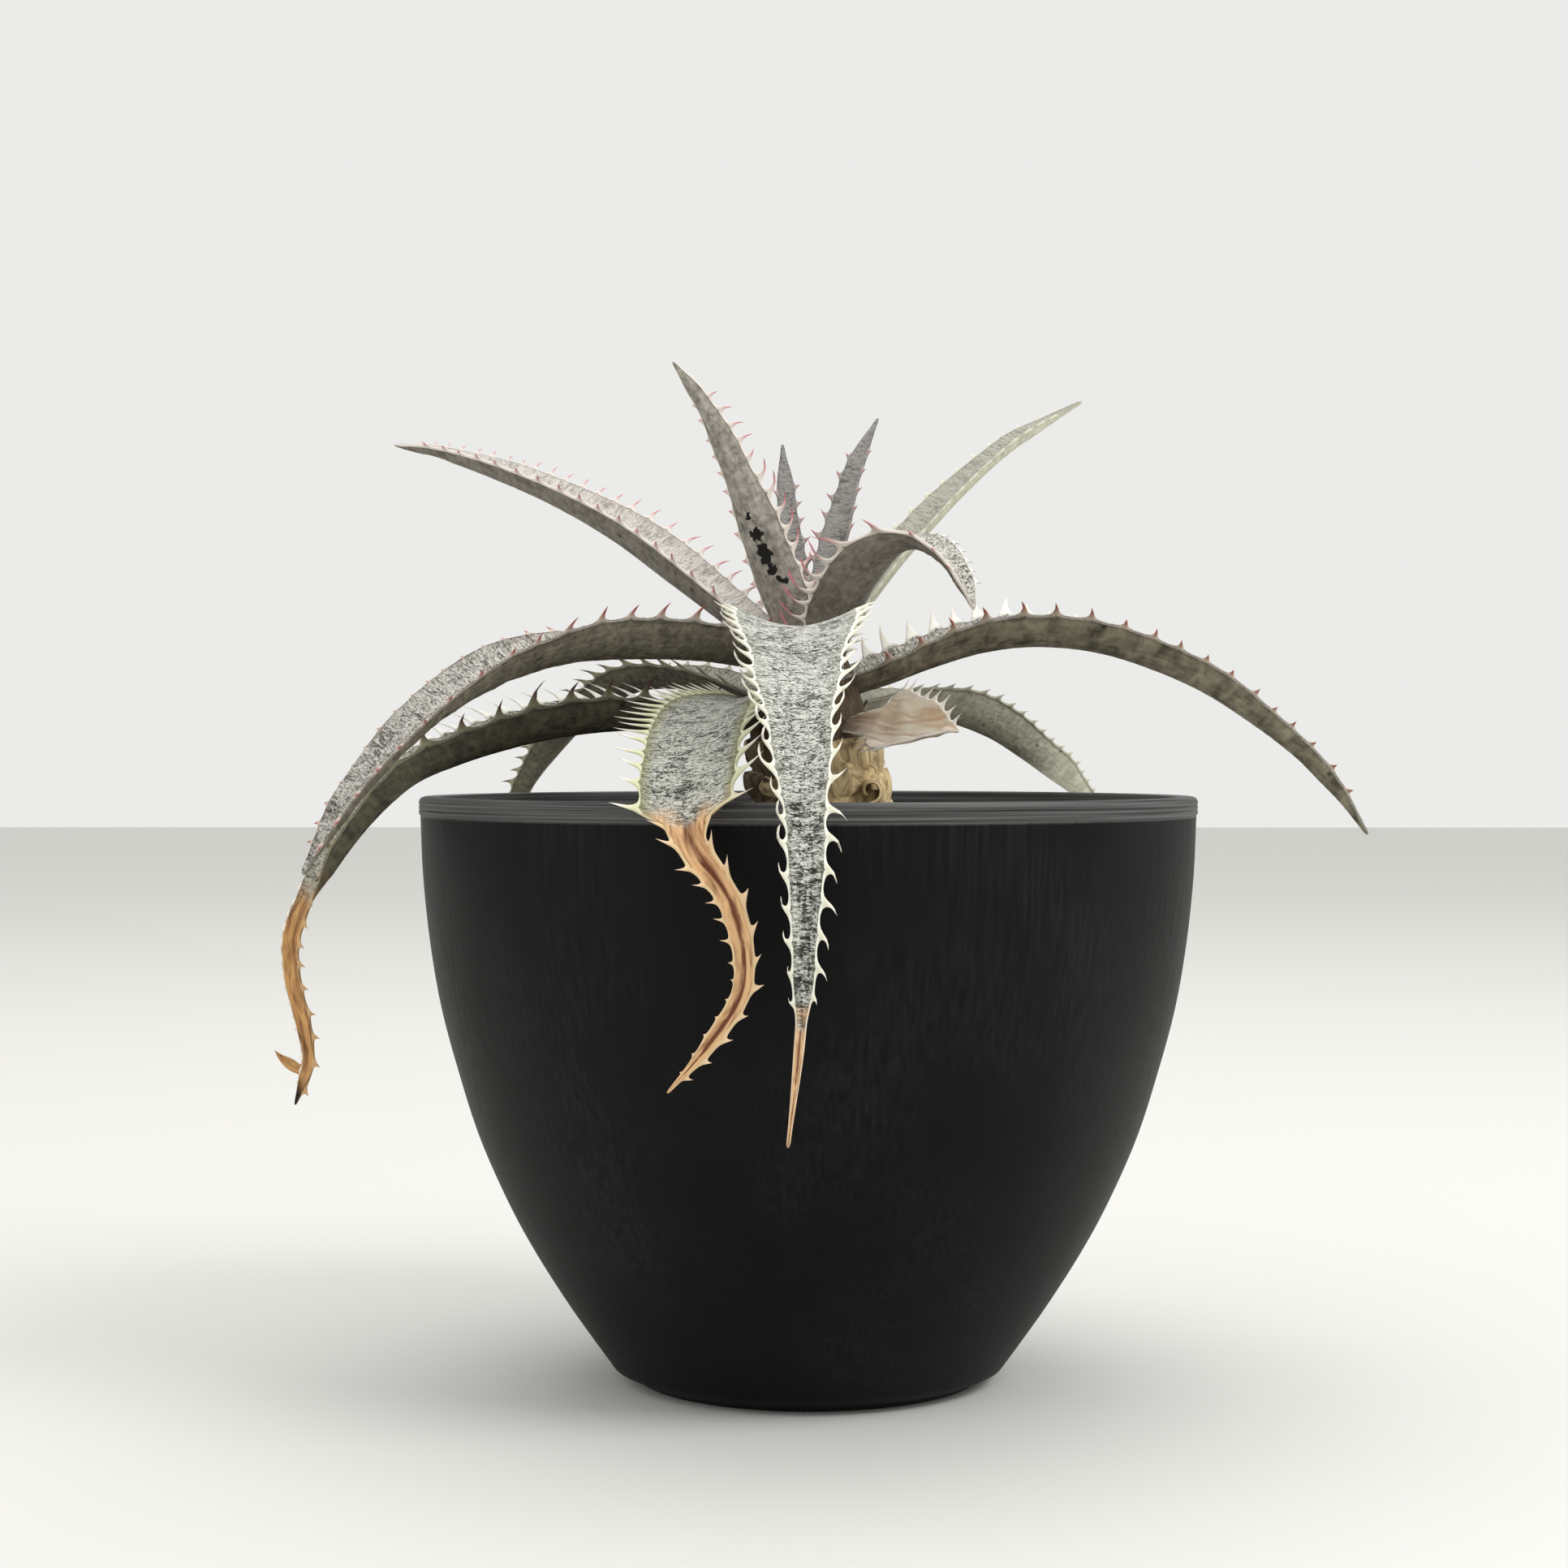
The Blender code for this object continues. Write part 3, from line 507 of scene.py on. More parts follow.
@dataclass(frozen=True)
class PottingMix:
    """Composted bark, coir and grit: dull damp crumbs, mostly dark brown, with some pale stones."""

    name: str = "composted_bark_and_grit"
    grains_per_metre: float = 1100.0
    crumbs: tuple[tuple[float, str], ...] = (
        (0.0, "#241a13"), (0.35, "#3a2a1d"), (0.62, "#57412c"), (0.8, "#6f6558"), (0.92, "#a29b8c"),
    )

    def build(self) -> bpy.types.Material:
        """Make the mix's material, which reads each crumb's own number from the mesh.

        Returns:
            The material.
        """
        material, tree, shader = new_material(self.name)
        place = add_node(tree, "TexCoord", output="Object")
        fine = add_node(tree, "TexNoise", {"Vector": place, "Scale": self.grains_per_metre, "Detail": 4.0})
        crumb = add_node(tree, "Attribute", output="Fac", attribute_name="crumb")
        kind = add_node(tree, "ValToRGB", {0: crumb})
        ramp = kind.node.color_ramp
        ramp.interpolation = "CONSTANT"
        for number, (position, colour) in enumerate(self.crumbs):
            stop = ramp.elements[number] if number < 2 else ramp.elements.new(position)
            stop.position = position
            stop.color = linear(colour)
        dirt = add_node(tree, "MapRange", {0: fine, 1: 0.3, 2: 0.7, 3: 0.35, 4: 1.0})
        dirtied = {0: 1.0, 6: kind, 7: dirt}
        colour = add_node(tree, "Mix", dirtied, 2, data_type="RGBA", blend_type="MULTIPLY")
        tree.links.new(colour, shader.inputs["Base Color"])
        bump = add_node(tree, "Bump", {"Strength": 0.7, "Distance": 0.0004, "Height": fine})
        tree.links.new(bump, shader.inputs["Normal"])
        shader.inputs["Roughness"].default_value = 0.92
        return material


@dataclass(frozen=True)
class StudioPaper:
    """Matt seamless paper: pale, even and without a shine."""

    name: str = "matt_studio_paper"
    colour: str = "#dddcd8"

    def build(self) -> bpy.types.Material:
        """Make the floor's material.

        Returns:
            The material.
        """
        material, _, shader = new_material(self.name)
        shader.inputs["Base Color"].default_value = linear(self.colour)
        shader.inputs["Roughness"].default_value = 0.95
        return material


class Tissue(Enum):
    """The kinds of leaf tissue on this plant."""

    # The front leaf: bright silver scurf, cracked down to dark green, with pale spines.
    GREEN = LeafTissue(
        name="dyckia_leaf_silver_scurf", scurf_light="#dadad1", scurf_dark="#34362f",
        margin_green="#a5a98e", rim="#eeeee2", spine_root="#dcdcc6", spine_tip="#f6f0e2",
        dry_light="#e6bf92", dry_dark="#7d4c30", outer_wear=0.9, fold=0.18,
    )
    # The leaf beside it: the same scurf, worn to yellow-green along its margins.
    GREEN_EDGED = LeafTissue(
        name="dyckia_leaf_silver_scurf_green_margin", scurf_light="#d0d0c5", scurf_dark="#34352d",
        margin_green="#8c8f5f", margin_tint=0.8, rim="#d4d6b4", spine_root="#d0d2ab", spine_tip="#f6f0e2",
        dry_light="#e2b888", dry_dark="#70412a", fold=0.26,
    )
    # The leaf up to the left: smooth pale scurf and rosy spines.
    PINK = LeafTissue(
        name="dyckia_leaf_grey_scurf", scurf_light="#d9d4cd", scurf_dark="#9b958c", spine_root="#ddd2c8",
        spine_tip="#cf8088", rim="#e2d8cf", under_light="#8f897e", under_dark="#5f5a50",
        margin_green="#c5bdb3", crack_depth=0.12,
    )
    # The folded leaf: a thick broken crust over a smooth pale underside.
    CRUSTED = LeafTissue(
        name="dyckia_leaf_crusted_scurf", slot="bare_leaf", scurf_light="#e6e2d8", scurf_dark="#55534a",
        spine_root="#ddd2c8", spine_tip="#cf8088", rim="#e2d8cf", under_light="#9a9488",
        under_dark="#6b665b", margin_green="#c5bdb3", wrinkle_mm=1.8,
    )
    # The tall leaf: dull pink-grey, with black scars up its underside.
    SCARRED = LeafTissue(
        name="dyckia_leaf_scarred", slot="bare_leaf", scurf_light="#dcd6cf", scurf_dark="#8d857c",
        spine_root="#ddd2c8", spine_tip="#cf8088", rim="#e2d8cf", under_light="#b4afa5",
        under_dark="#6c675e", margin_green="#b5aaa0", crack_depth=0.15,
        scars=(
            (20.8, 0.3, 0.6), (17.0, 0.1, 1.2), (13.2, -0.1, 1.45), (9.4, -0.5, 1.0), (8.0, -1.1, 0.6),
            (6.8, -1.9, 0.4),
        ),
    )
    # The two short leaves behind: dusky, with dull pink spines.
    DUSK = LeafTissue(
        name="dyckia_leaf_dusky_scurf", scurf_light="#a3a09c", scurf_dark="#6b6864", spine_root="#a89c95",
        spine_tip="#b07a7c", rim="#a39e98", under_light="#8a857e", under_dark="#55504b",
        margin_green="#7b7672", rim_start=0.3, crack_depth=0.12,
    )
    # The upper leaf to the left: grey scurf and short red spines.
    RED = LeafTissue(
        name="dyckia_leaf_red_spined", scurf_light="#cfcbc3", scurf_dark="#57534c", spine_root="#cfc0b4",
        spine_tip="#a8564f", rim="#bdb4a8", under_light="#8c8673", under_dark="#58534a",
        margin_green="#a39d90", rim_start=0.27,
    )
    # The leaf to the right: a blotched underside and spines with reddish points.
    WEATHERED = LeafTissue(
        name="dyckia_leaf_weathered", scurf_light="#cfcbc3", scurf_dark="#57534c", spine_root="#c9bba9",
        spine_tip="#a8604f", rim="#bdb4a8", under_light="#9b947e", under_dark="#4b473b",
        margin_green="#a39d90", rim_start=0.27, mottle_mm=2.2,
    )
    # The lower leaf to the left and one at the back: dark olive, withered orange at the tip.
    OLIVE = LeafTissue(
        name="dyckia_leaf_olive_underside", slot="bare_leaf", scurf_light="#bcb9ab", scurf_dark="#6a675a",
        under_light="#736e5a", under_dark="#47433a", spine_root="#adab8e", spine_tip="#6b5144",
        rim="#9b9980", margin_green="#7f7f66", dry_light="#cfa067", dry_dark="#5f3420", rim_start=0.27,
        tip_dark=1.0,
    )
    # The leaves at the back right: light sage undersides with short blunt spines.
    SAGE = LeafTissue(
        name="dyckia_leaf_sage_underside", slot="bare_leaf", scurf_light="#b9b7aa", scurf_dark="#8a887c",
        under_light="#dcdac6", under_dark="#b0ae9a", spine_root="#c9c8b0", spine_tip="#e2dfd0",
        rim="#c4c2aa", margin_green="#aaa78f", rim_start=0.22, crack_depth=0.12,
    )
    # The dead leaf: thin cream and brown tissue that some light comes through, with painted shade towards its
    # root.
    DEAD = LeafTissue(
        name="dead_dyckia_leaf", slot="dead_leaf", dry_light="#f8e8d5", dry_dark="#b08a70",
        spine_root="#f3e6d8", spine_tip="#fbf3e6", rim="#f6eadc", fibre_mm=1.8, heart_dark=0.8,
        glow_through=0.6, bump=0.5,
    )
    # Old leaf bases on the stem: straw-coloured husk, with painted shade under the crown and on the stem's
    # left.
    BASE = LeafTissue(
        name="old_dyckia_leaf_base", slot="old_leaf_bases", dry_light="#ead2a0", dry_dark="#5f4426",
        rim="#dcc69a", fibre_mm=2.0, fibre_length=2.0, heart_dark=0.9,
    )


def select_only(obj: bpy.types.Object) -> None:
    """Make one object the only one that is selected, and the active one.

    Args:
        obj: the object.
    """
    bpy.ops.object.select_all(action="DESELECT")
    obj.select_set(True)
    bpy.context.view_layer.objects.active = obj


def start_primitive(name: str) -> bpy.types.Object:
    """Name the primitive that was just added and apply its place, so that it sits at the origin.

    Args:
        name: the name for the object and its mesh.

    Returns:
        The object.
    """
    obj = bpy.context.active_object
    obj.name = name
    obj.data.name = name
    bpy.ops.object.transform_apply(location=True, rotation=True, scale=True)
    return obj


def join_into(obj: bpy.types.Object, others: list[bpy.types.Object]) -> None:
    """Join other objects to one.

    Args:
        obj: the object that stays and keeps its name.
        others: the objects that go into it.
    """
    if others:
        select_only(obj)
        for other in others:
            other.select_set(True)
        bpy.ops.object.join()


def select_open_edges(use_wire: bool) -> None:
    """In edit mode, select the edges at a skin's openings and nothing else.

    Args:
        use_wire: whether edges without a face count as open too.
    """
    bpy.ops.mesh.select_mode(type="EDGE")
    bpy.ops.mesh.select_all(action="DESELECT")
    bpy.ops.mesh.select_non_manifold(
        extend=False, use_wire=use_wire, use_multi_face=False, use_non_contiguous=False
    )


def lathe(
    name: str, profile: list[tuple[float, float]], steps: int, fill: str = "NOTHING"
) -> bpy.types.Object:
    """Draw a circle up and in or out through a profile, ring by ring.

    Args:
        name: the piece's name.
        profile: radius and height of each ring, in millimetres.
        steps: points round each ring.
        fill: how the first ring is closed.

    Returns:
        The open turned skin, in object mode.
    """
    radius, height = profile[0]
    bpy.ops.object.select_all(action="DESELECT")
    bpy.ops.mesh.primitive_circle_add(
        vertices=steps, radius=radius * MM, fill_type=fill, location=(0.0, 0.0, height * MM)
    )
    obj = start_primitive(name)
    bpy.ops.object.mode_set(mode="EDIT")
    select_open_edges(use_wire=True)
    for (last_radius, last_height), (radius, height) in zip(profile, profile[1:]):
        rise = (0.0, 0.0, (height - last_height) * MM)
        bpy.ops.mesh.extrude_edges_move(TRANSFORM_OT_translate={"value": rise})
        grow = radius / last_radius
        bpy.ops.transform.resize(value=(grow, grow, 1.0), center_override=(0.0, 0.0, height * MM))
    bpy.ops.object.mode_set(mode="OBJECT")
    return obj


def close_skin(obj: bpy.types.Object, angle: float) -> None:
    """Fill what is open on a skin, turn its faces outwards and shade it smooth.

    Args:
        obj: the skin.
        angle: the widest angle between faces that is shaded smooth, in degrees.
    """
    select_only(obj)
    bpy.ops.object.mode_set(mode="EDIT")
    select_open_edges(use_wire=False)
    bpy.ops.mesh.fill_holes(sides=0)
    bpy.ops.mesh.select_all(action="SELECT")
    bpy.ops.mesh.normals_make_consistent(inside=False)
    bpy.ops.object.mode_set(mode="OBJECT")
    bpy.ops.object.shade_smooth_by_angle(angle=math.radians(angle))


def read_points(mesh: bpy.types.Mesh) -> np.ndarray:
    """Read a mesh's points.

    Args:
        mesh: the mesh.

    Returns:
        One row for each point, in metres.
    """
    points = np.empty(len(mesh.vertices) * 3)
    mesh.vertices.foreach_get("co", points)
    return points.reshape(-1, 3)


def move_points(mesh: bpy.types.Mesh, points: np.ndarray) -> None:
    """Move a mesh's points to places in millimetres."""
    mesh.vertices.foreach_set("co", (points * MM).ravel())


def set_floats(mesh: bpy.types.Mesh, name: str, values: np.ndarray) -> None:
    """Store one number for each vertex under an attribute's name."""
    attribute = mesh.attributes.new(name, "FLOAT", "POINT")
    attribute.data.foreach_set("value", values.astype(np.float32).ravel())


def set_vectors(mesh: bpy.types.Mesh, name: str, values: np.ndarray) -> None:
    """Store one vector for each vertex under an attribute's name."""
    attribute = mesh.attributes.new(name, "FLOAT_VECTOR", "POINT")
    attribute.data.foreach_set("vector", values.astype(np.float32).ravel())


def finish_piece(obj: bpy.types.Object, material: bpy.types.Material, node: str) -> None:
    """Give a piece its material, its body and the CAD node that it stands for.

    Args:
        obj: the piece.
        material: its material.
        node: the CAD node that it replaces.
    """
    obj.data.materials.clear()
    obj.data.materials.append(material)
    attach(obj, BODY)
    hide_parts(node)
    LOG.info("%s: %d faces", obj.name, len(obj.data.polygons))


def smooth_noise(points: np.ndarray, size: float, seed: int) -> np.ndarray:
    """Value noise in three dimensions, from a seeded lattice.

    Args:
        points: places, one row each, in millimetres.
        size: distance between the lattice's points.
        seed: number that picks the lattice.

    Returns:
        One value from -1 to 1 for each place.
    """
    scaled = points / size
    cell = np.floor(scaled).astype(np.int64)
    part = scaled - cell
    part = part * part * (3 - 2 * part)
    total = np.zeros(len(points))
    for corner in range(8):
        step = np.array([corner & 1, corner >> 1 & 1, corner >> 2 & 1])
        key = cell + step
        mixed_key = np.full(len(points), seed * SEED_MIX)
        for axis, mix in enumerate(LATTICE_MIX):
            mixed_key ^= key[:, axis] * mix
        value = ((mixed_key * VALUE_MIX) >> 13 & 0xFFFF) / 32767.5 - 1
        weight = np.prod(np.where(step, part, 1 - part), axis=1)
        total += value * weight
    return total


def keyed(keys: Keys, share: np.ndarray) -> np.ndarray:
    """Values at shares of a length, eased between keys.

    Args:
        keys: pairs of a share and a value.
        share: the shares to read.

    Returns:
        One value for each share.
    """
    shares = np.array([key for key, _ in keys], float)
    values = np.array([value for _, value in keys], float)
    place = np.clip(np.searchsorted(shares, share, side="right") - 1, 0, len(keys) - 2)
    t = np.clip((share - shares[place]) / (shares[place + 1] - shares[place]), 0, 1)
    return values[place] + (values[place + 1] - values[place]) * t * t * (3 - 2 * t)


@dataclass
class MidLine:
    """A smooth curve through a leaf's control points, with the direction of its side along it."""

    path: tuple[Point, ...]
    facing: float
    sheath: float
    samples: int = 40

    def __post_init__(self) -> None:
        """Sample the curve and carry the side direction along it."""
        points = np.array(self.path, float)
        ends = np.vstack([2 * points[0] - points[1], points, 2 * points[-1] - points[-2]])
        steps = np.linspace(0, 1, self.samples, endpoint=False)[:, None]
        line = []
        for a, b, c, d in zip(ends, ends[1:], ends[2:], ends[3:]):
            line.append(
                0.5 * (2 * b + (c - a) * steps + (2 * a - 5 * b + 4 * c - d) * steps**2
                       + (3 * b - a - 3 * c + d) * steps**3)
            )
        self.line = np.vstack([*line, points[-1]])
        gaps = np.linalg.norm(np.diff(self.line, axis=0), axis=1)
        self.along = np.concatenate([[0.0], np.cumsum(gaps)])
        self.length = float(self.along[-1])
        heading = np.gradient(self.line, self.along, axis=0)
        self.heading = heading / np.linalg.norm(heading, axis=1, keepdims=True)
        inner = self.line[0] - self.heading[0] * self.sheath
        self.line = np.vstack([inner, self.line])
        self.heading = np.vstack([self.heading[0], self.heading])
        self.along = np.concatenate([[-self.sheath], self.along])
        angle = math.radians(self.facing)
        side = np.array([-math.sin(angle), math.cos(angle), 0.0])
        side = side - (self.heading @ side)[:, None] * self.heading
        self.side = side / np.linalg.norm(side, axis=1, keepdims=True)

    def read(self, values: np.ndarray, distance: np.ndarray) -> np.ndarray:
        """Read vectors that were sampled along the curve at some distances."""
        return np.stack([np.interp(distance, self.along, values[:, axis]) for axis in range(3)], axis=-1)


@dataclass(frozen=True)
class Spines:
    """The hooked spines along one margin of a leaf.

    Sizes are millimetres. Angles are radians and turn towards the leaf's tip where they are positive: a
    spine leaves the margin at its lean, and its point has turned by its hook as well. Grow and spread
    scale the size and the pitch along the leaf. Web is how much of a spine is the low web that joins it
    to the next one, and slender narrows the rest of it.
    """

    size: float
    pitch: float
    first: float = 5.0
    bare_tip: float = 5.0
    lean: Keys = ((0.0, 0.1), (1.0, 0.1))
    hook: Keys = ((0.0, 0.9), (1.0, 0.9))
    grow: Keys = ((0.0, 1.0), (1.0, 0.5))
    spread: Keys = ((0.0, 1.0), (1.0, 0.75))
    slender: float = 7.0
    web: float = 0.24

    def centres(self, length: float, draw: np.random.Generator) -> np.ndarray:
        """Places of the spines along a leaf.

        Args:
            length: the leaf's length.
            draw: the leaf's own seeded draw.

        Returns:
            The distance of each spine from the leaf's root.
        """
        found = []
        place = self.first
        while place < length - self.bare_tip:
            found.append(place)
            pitch = self.pitch * float(keyed(self.spread, np.array([place / length]))[0])
            place += pitch * draw.uniform(0.86, 1.14)
        return np.array(found)


@dataclass
class SkinPoints:
    """Where each point of a leaf's wrapped grid stands on the leaf.

    Share is the place across, from -1 to 1, and reach the place on a spine, from 0 at its root to 1 at
    its point. Upper is true on the upper side. Lengths are millimetres.
    """

    ring: np.ndarray
    share: np.ndarray
    reach: np.ndarray
    upper: np.ndarray
    distance: np.ndarray
    along: np.ndarray
    half: np.ndarray
    edge: np.ndarray
    middle: np.ndarray
    heading: np.ndarray
    side: np.ndarray
    normal: np.ndarray
    rise: np.ndarray
    slope: np.ndarray


@dataclass
class Leaf:
    """One leaf as a closed skin: upper face, underside and the hooked spines drawn out of its margins.

    Keys give a value at shares of the leaf's length. Twist is in degrees, the other sizes in millimetres.
    Phases are the rings round a spine, as shares of the gap to the next one, and reaches the points
    between a spine's root and its point.
    """

    name: str
    facing: float
    path: tuple[Point, ...]
    width: Keys
    thickness: float
    tissue: Tissue
    seed: int
    left: Spines | None = None
    right: Spines | None = None
    channel: Keys = ((0.0, 0.5), (1.0, 0.3))
    twist: Keys = ((0.0, 0.0), (1.0, 0.0))
    dry: Keys = ((0.0, 0.0), (1.0, 0.0))
    crumple: Keys = ((0.0, 0.0), (1.0, 0.0))
    pale_side: int = 0
    offshoots: tuple[Leaf, ...] = ()
    slot: str = ""
    edge: float = 0.7
    relief: float = 0.10
    upper_columns: int = 24
    lower_columns: int = 14
    # How far from the root the painted shade of the rosette's heart reaches.
    heart_reach: float = 26.0
    sheath: float = 5.0
    phases: tuple[float, ...] = (-0.5, -0.32, -0.19, -0.1, -0.045, 0.0, 0.045, 0.1, 0.19, 0.32)
    reaches: tuple[float, ...] = (0.16, 0.36, 0.6, 0.82)
    ring_gap: float = 0.9
    least_gap: float = 0.07
    least_half_width: float = 0.12
    tip_length: float = 1.2
    bowl_power: float = 1.8
    underside_relief: float = 0.45
    spine_root: float = 0.28
    spine_thinning: float = 0.72

    def __post_init__(self) -> None:
        """Lay out the leaf's middle line and the places of its spines."""
        self.mid = MidLine(self.path, self.facing, self.sheath)
        self.length = self.mid.length
        self.draw = np.random.default_rng(self.seed)
        sides = (self.left, self.right)
        self.teeth = [side.centres(self.length, self.draw) if side else np.empty(0) for side in sides]

    def ring_places(self) -> np.ndarray:
        """Lay out the rings along the leaf, closest where a spine of either margin stands.

        Returns:
            Each ring's distance from the leaf's root.
        """
        tips = np.concatenate(self.teeth)
        others = list(np.arange(-self.sheath, self.length, self.ring_gap)) + [self.length]
        others += [self.length - back for back in (0.9, 0.5, 0.2, 0.06)]
        for teeth, side in zip(self.teeth, (self.left, self.right)):
            for number, centre in enumerate(teeth):
                before = centre - teeth[number - 1] if number else side.pitch
                after = teeth[number + 1] - centre if number + 1 < len(teeth) else side.pitch * 0.7
                others += [centre + phase * (before if phase < 0 else after) for phase in self.phases]
        kept = sorted(float(tip) for tip in tips)
        for place in sorted(others):
            apart = all(abs(place - other) > self.least_gap for other in kept[-6:])
            if -self.sheath <= place <= self.length and apart:
                if not len(tips) or np.min(np.abs(tips - place)) > self.least_gap:
                    kept.append(place)
        return np.unique(np.round(np.array(kept), 5))

    def spine_growth(self, number: int, distance: np.ndarray) -> tuple[np.ndarray, ...]:
        """How far each ring of one margin is drawn out.

        Args:
            number: 0 for the left margin and 1 for the right one.
            distance: the rings' distances from the root.

        Returns:
            Each ring's growth from 0 to 1, and its spine's size, lean and hook.
        """
        teeth, side = self.teeth[number], (self.left, self.right)[number]
        if not len(teeth):
            nothing = np.zeros(len(distance))
            return nothing, nothing, nothing, nothing
        ends = [teeth[0] - side.pitch / 2], [teeth[-1] + side.pitch * 0.35]
        bounds = np.concatenate([ends[0], (teeth[1:] + teeth[:-1]) / 2, ends[1]])
        owner = np.clip(np.searchsorted(bounds, distance, side="right") - 1, 0, len(teeth) - 1)
        centre = teeth[owner]
        reach = np.where(distance < centre, centre - bounds[owner], bounds[owner + 1] - centre)
        near = np.clip(1 - np.abs(distance - centre) / reach, 0, 1)
        grown = side.web * near**2 + (1 - side.web) * near**side.slender
        share = np.clip(teeth / self.length, 0, 1)
        sizes = side.size * keyed(side.grow, share) * self.draw.uniform(0.8, 1.15, len(teeth))
        leans = keyed(side.lean, share) + self.draw.uniform(-0.12, 0.12, len(teeth))
        hooks = keyed(side.hook, share) * self.draw.uniform(0.8, 1.2, len(teeth))
        hooks = np.where(np.abs(hooks) < 0.05, 0.05, hooks)
        return grown, sizes[owner], leans[owner], hooks[owner]

    def columns(self) -> np.ndarray:
        """Lay out one ring: share of the half width, reach into the spine, and 1 for the upper side.

        Returns:
            The points in order round the leaf. The last one repeats the first, to close the ring.
        """
        quarter = math.pi / 2 * 0.92
        above, below = [
            np.sin(np.linspace(-quarter, quarter, count)) / math.sin(quarter)
            for count in (self.upper_columns, self.lower_columns)
        ]
        ring = [(share, 0.0, 1.0) for share in above]
        ring += [(1.0, reach, 1.0) for reach in self.reaches] + [(1.0, 1.0, 1.0)]
        ring += [(1.0, reach, 0.0) for reach in reversed(self.reaches)]
        ring += [(share, 0.0, 0.0) for share in below[::-1]]
        ring += [(-1.0, reach, 0.0) for reach in self.reaches] + [(-1.0, 1.0, 1.0)]
        ring += [(-1.0, reach, 1.0) for reach in reversed(self.reaches)]
        return np.array([*ring, ring[0]])

    def frame_at(self, distance: np.ndarray) -> tuple[np.ndarray, ...]:
        """Read the leaf's middle line and how the leaf lies on it.

        Args:
            distance: distances from the leaf's root.

        Returns:
            Middle points, headings, sides and upper normals.
        """
        middle = self.mid.read(self.mid.line, distance)
        heading = self.mid.read(self.mid.heading, distance)
        side = self.mid.read(self.mid.side, distance)
        heading /= np.linalg.norm(heading, axis=1, keepdims=True)
        side /= np.linalg.norm(side, axis=1, keepdims=True)
        turn = np.radians(keyed(self.twist, np.clip(distance / self.length, 0.0, 1.0)))[:, None]
        normal = np.cross(heading, side)
        side = side * np.cos(turn) + normal * np.sin(turn)
        return middle, heading, side, np.cross(heading, side)

    def lay_out(self, grid: np.ndarray, places: np.ndarray, table: np.ndarray) -> SkinPoints:
        """Give each point of a flat grid its place on the leaf.

        Args:
            grid: the grid's points, from -1 to 1 across and along.
            places: the rings' distances from the root.
            table: the points of one ring.

        Returns:
            Where the points stand.
        """
        column = np.rint((grid[:, 0] + 1) / 2 * (len(table) - 1)).astype(int)
        ring = np.rint((grid[:, 1] + 1) / 2 * (len(places) - 1)).astype(int)
        share, reach, upper = table[column, 0], table[column, 1], table[column, 2] > 0.5
        distance = places[ring]
        along = np.clip(distance / self.length, 0.0, 1.0)
        near_tip = np.clip((distance - self.length + self.tip_length) / self.tip_length, 0, 1)
        taper = np.sqrt(np.clip(1 - near_tip**2, 0.02, 1))
        half = np.maximum(keyed(self.width, along) / 2, self.least_half_width) * taper
        edge = np.minimum(self.edge, half * 1.1)
        bowl = keyed(self.channel, along)
        rise = bowl * half * np.abs(share) ** self.bowl_power
        slope = self.bowl_power * bowl * np.abs(share) ** (self.bowl_power - 1)
        return SkinPoints(
            ring, share, reach, upper, distance, along, half, edge, *self.frame_at(distance), rise, slope
        )

    def blade_points(self, skin: SkinPoints, flat: np.ndarray) -> np.ndarray:
        """Shape the blade: hollowed above, thin at its margins, rough with scurf, and creased.

        Args:
            skin: where the points stand.
            flat: their places on the leaf laid out flat.

        Returns:
            The points.
        """
        across = np.abs(skin.share)
        body = np.minimum(self.thickness, skin.edge + skin.half * 0.5)
        thick = skin.edge + (body - skin.edge) * (1 - across**2)
        top = skin.rise + skin.edge / 2
        lift = np.where(skin.upper, top, top - thick)
        rough = smooth_noise(flat * [0.6, 1.3, 1.0], 0.9, self.seed) * 0.6
        rough += smooth_noise(flat, 0.6, self.seed + 7) * 0.4
        strength = np.where(skin.upper, 1.0, self.underside_relief)
        lift += rough * self.relief * (strength * (1 - across**6) * np.clip(skin.half / 2.5, 0, 1))
        plan = np.stack([skin.share * skin.half, skin.distance, skin.share * 0], axis=-1)
        lift += smooth_noise(plan, 3.2, self.seed + 11) * keyed(self.crumple, skin.along)
        return skin.middle - skin.side * (skin.share * skin.half)[:, None] + skin.normal * lift[:, None]

    def spine_points(self, skin: SkinPoints, places: np.ndarray) -> tuple[np.ndarray, ...]:
        """Draw the margins' points out into spines that curve as they go.

        Args:
            skin: where the points stand.
            places: the rings' distances from the root.

        Returns:
            The points, how far out of the margin each one is, and its share of the way to a spine's point.
        """
        growths = [self.spine_growth(number, places) for number in (0, 1)]
        grown, size, lean, hook = [
            np.where(skin.share > 0, right[skin.ring], left[skin.ring]) for left, right in zip(*growths)
        ]
        drawn = grown * skin.reach
        angle = lean + hook * drawn
        curve = np.where(hook == 0, 1.0, hook)
        away = size * (np.sin(angle) - np.sin(lean)) / curve
        away = away + self.spine_root * skin.reach * np.minimum(skin.half, 1.0)
        ahead = size * (np.cos(lean) - np.cos(angle)) / curve
        tilt = np.arctan(skin.slope) * 0.85
        out = -skin.side * np.sign(skin.share)[:, None] * np.cos(tilt)[:, None]
        out = out + skin.normal * np.sin(tilt)[:, None]
        across = np.cross(skin.heading, out)
        across *= np.sign((across * skin.normal).sum(axis=1))[:, None]
        plump = skin.edge / 2 * (1 - self.spine_thinning * drawn) * np.sqrt(np.clip(1 - skin.reach**2, 0, 1))
        rim = skin.middle - skin.side * (skin.share * skin.half)[:, None] + skin.normal * skin.rise[:, None]
        points = rim + out * away[:, None] + skin.heading * ahead[:, None]
        points += across * (np.where(skin.upper, 1, -1) * plump)[:, None]
        return points, away, drawn * (size > 0)

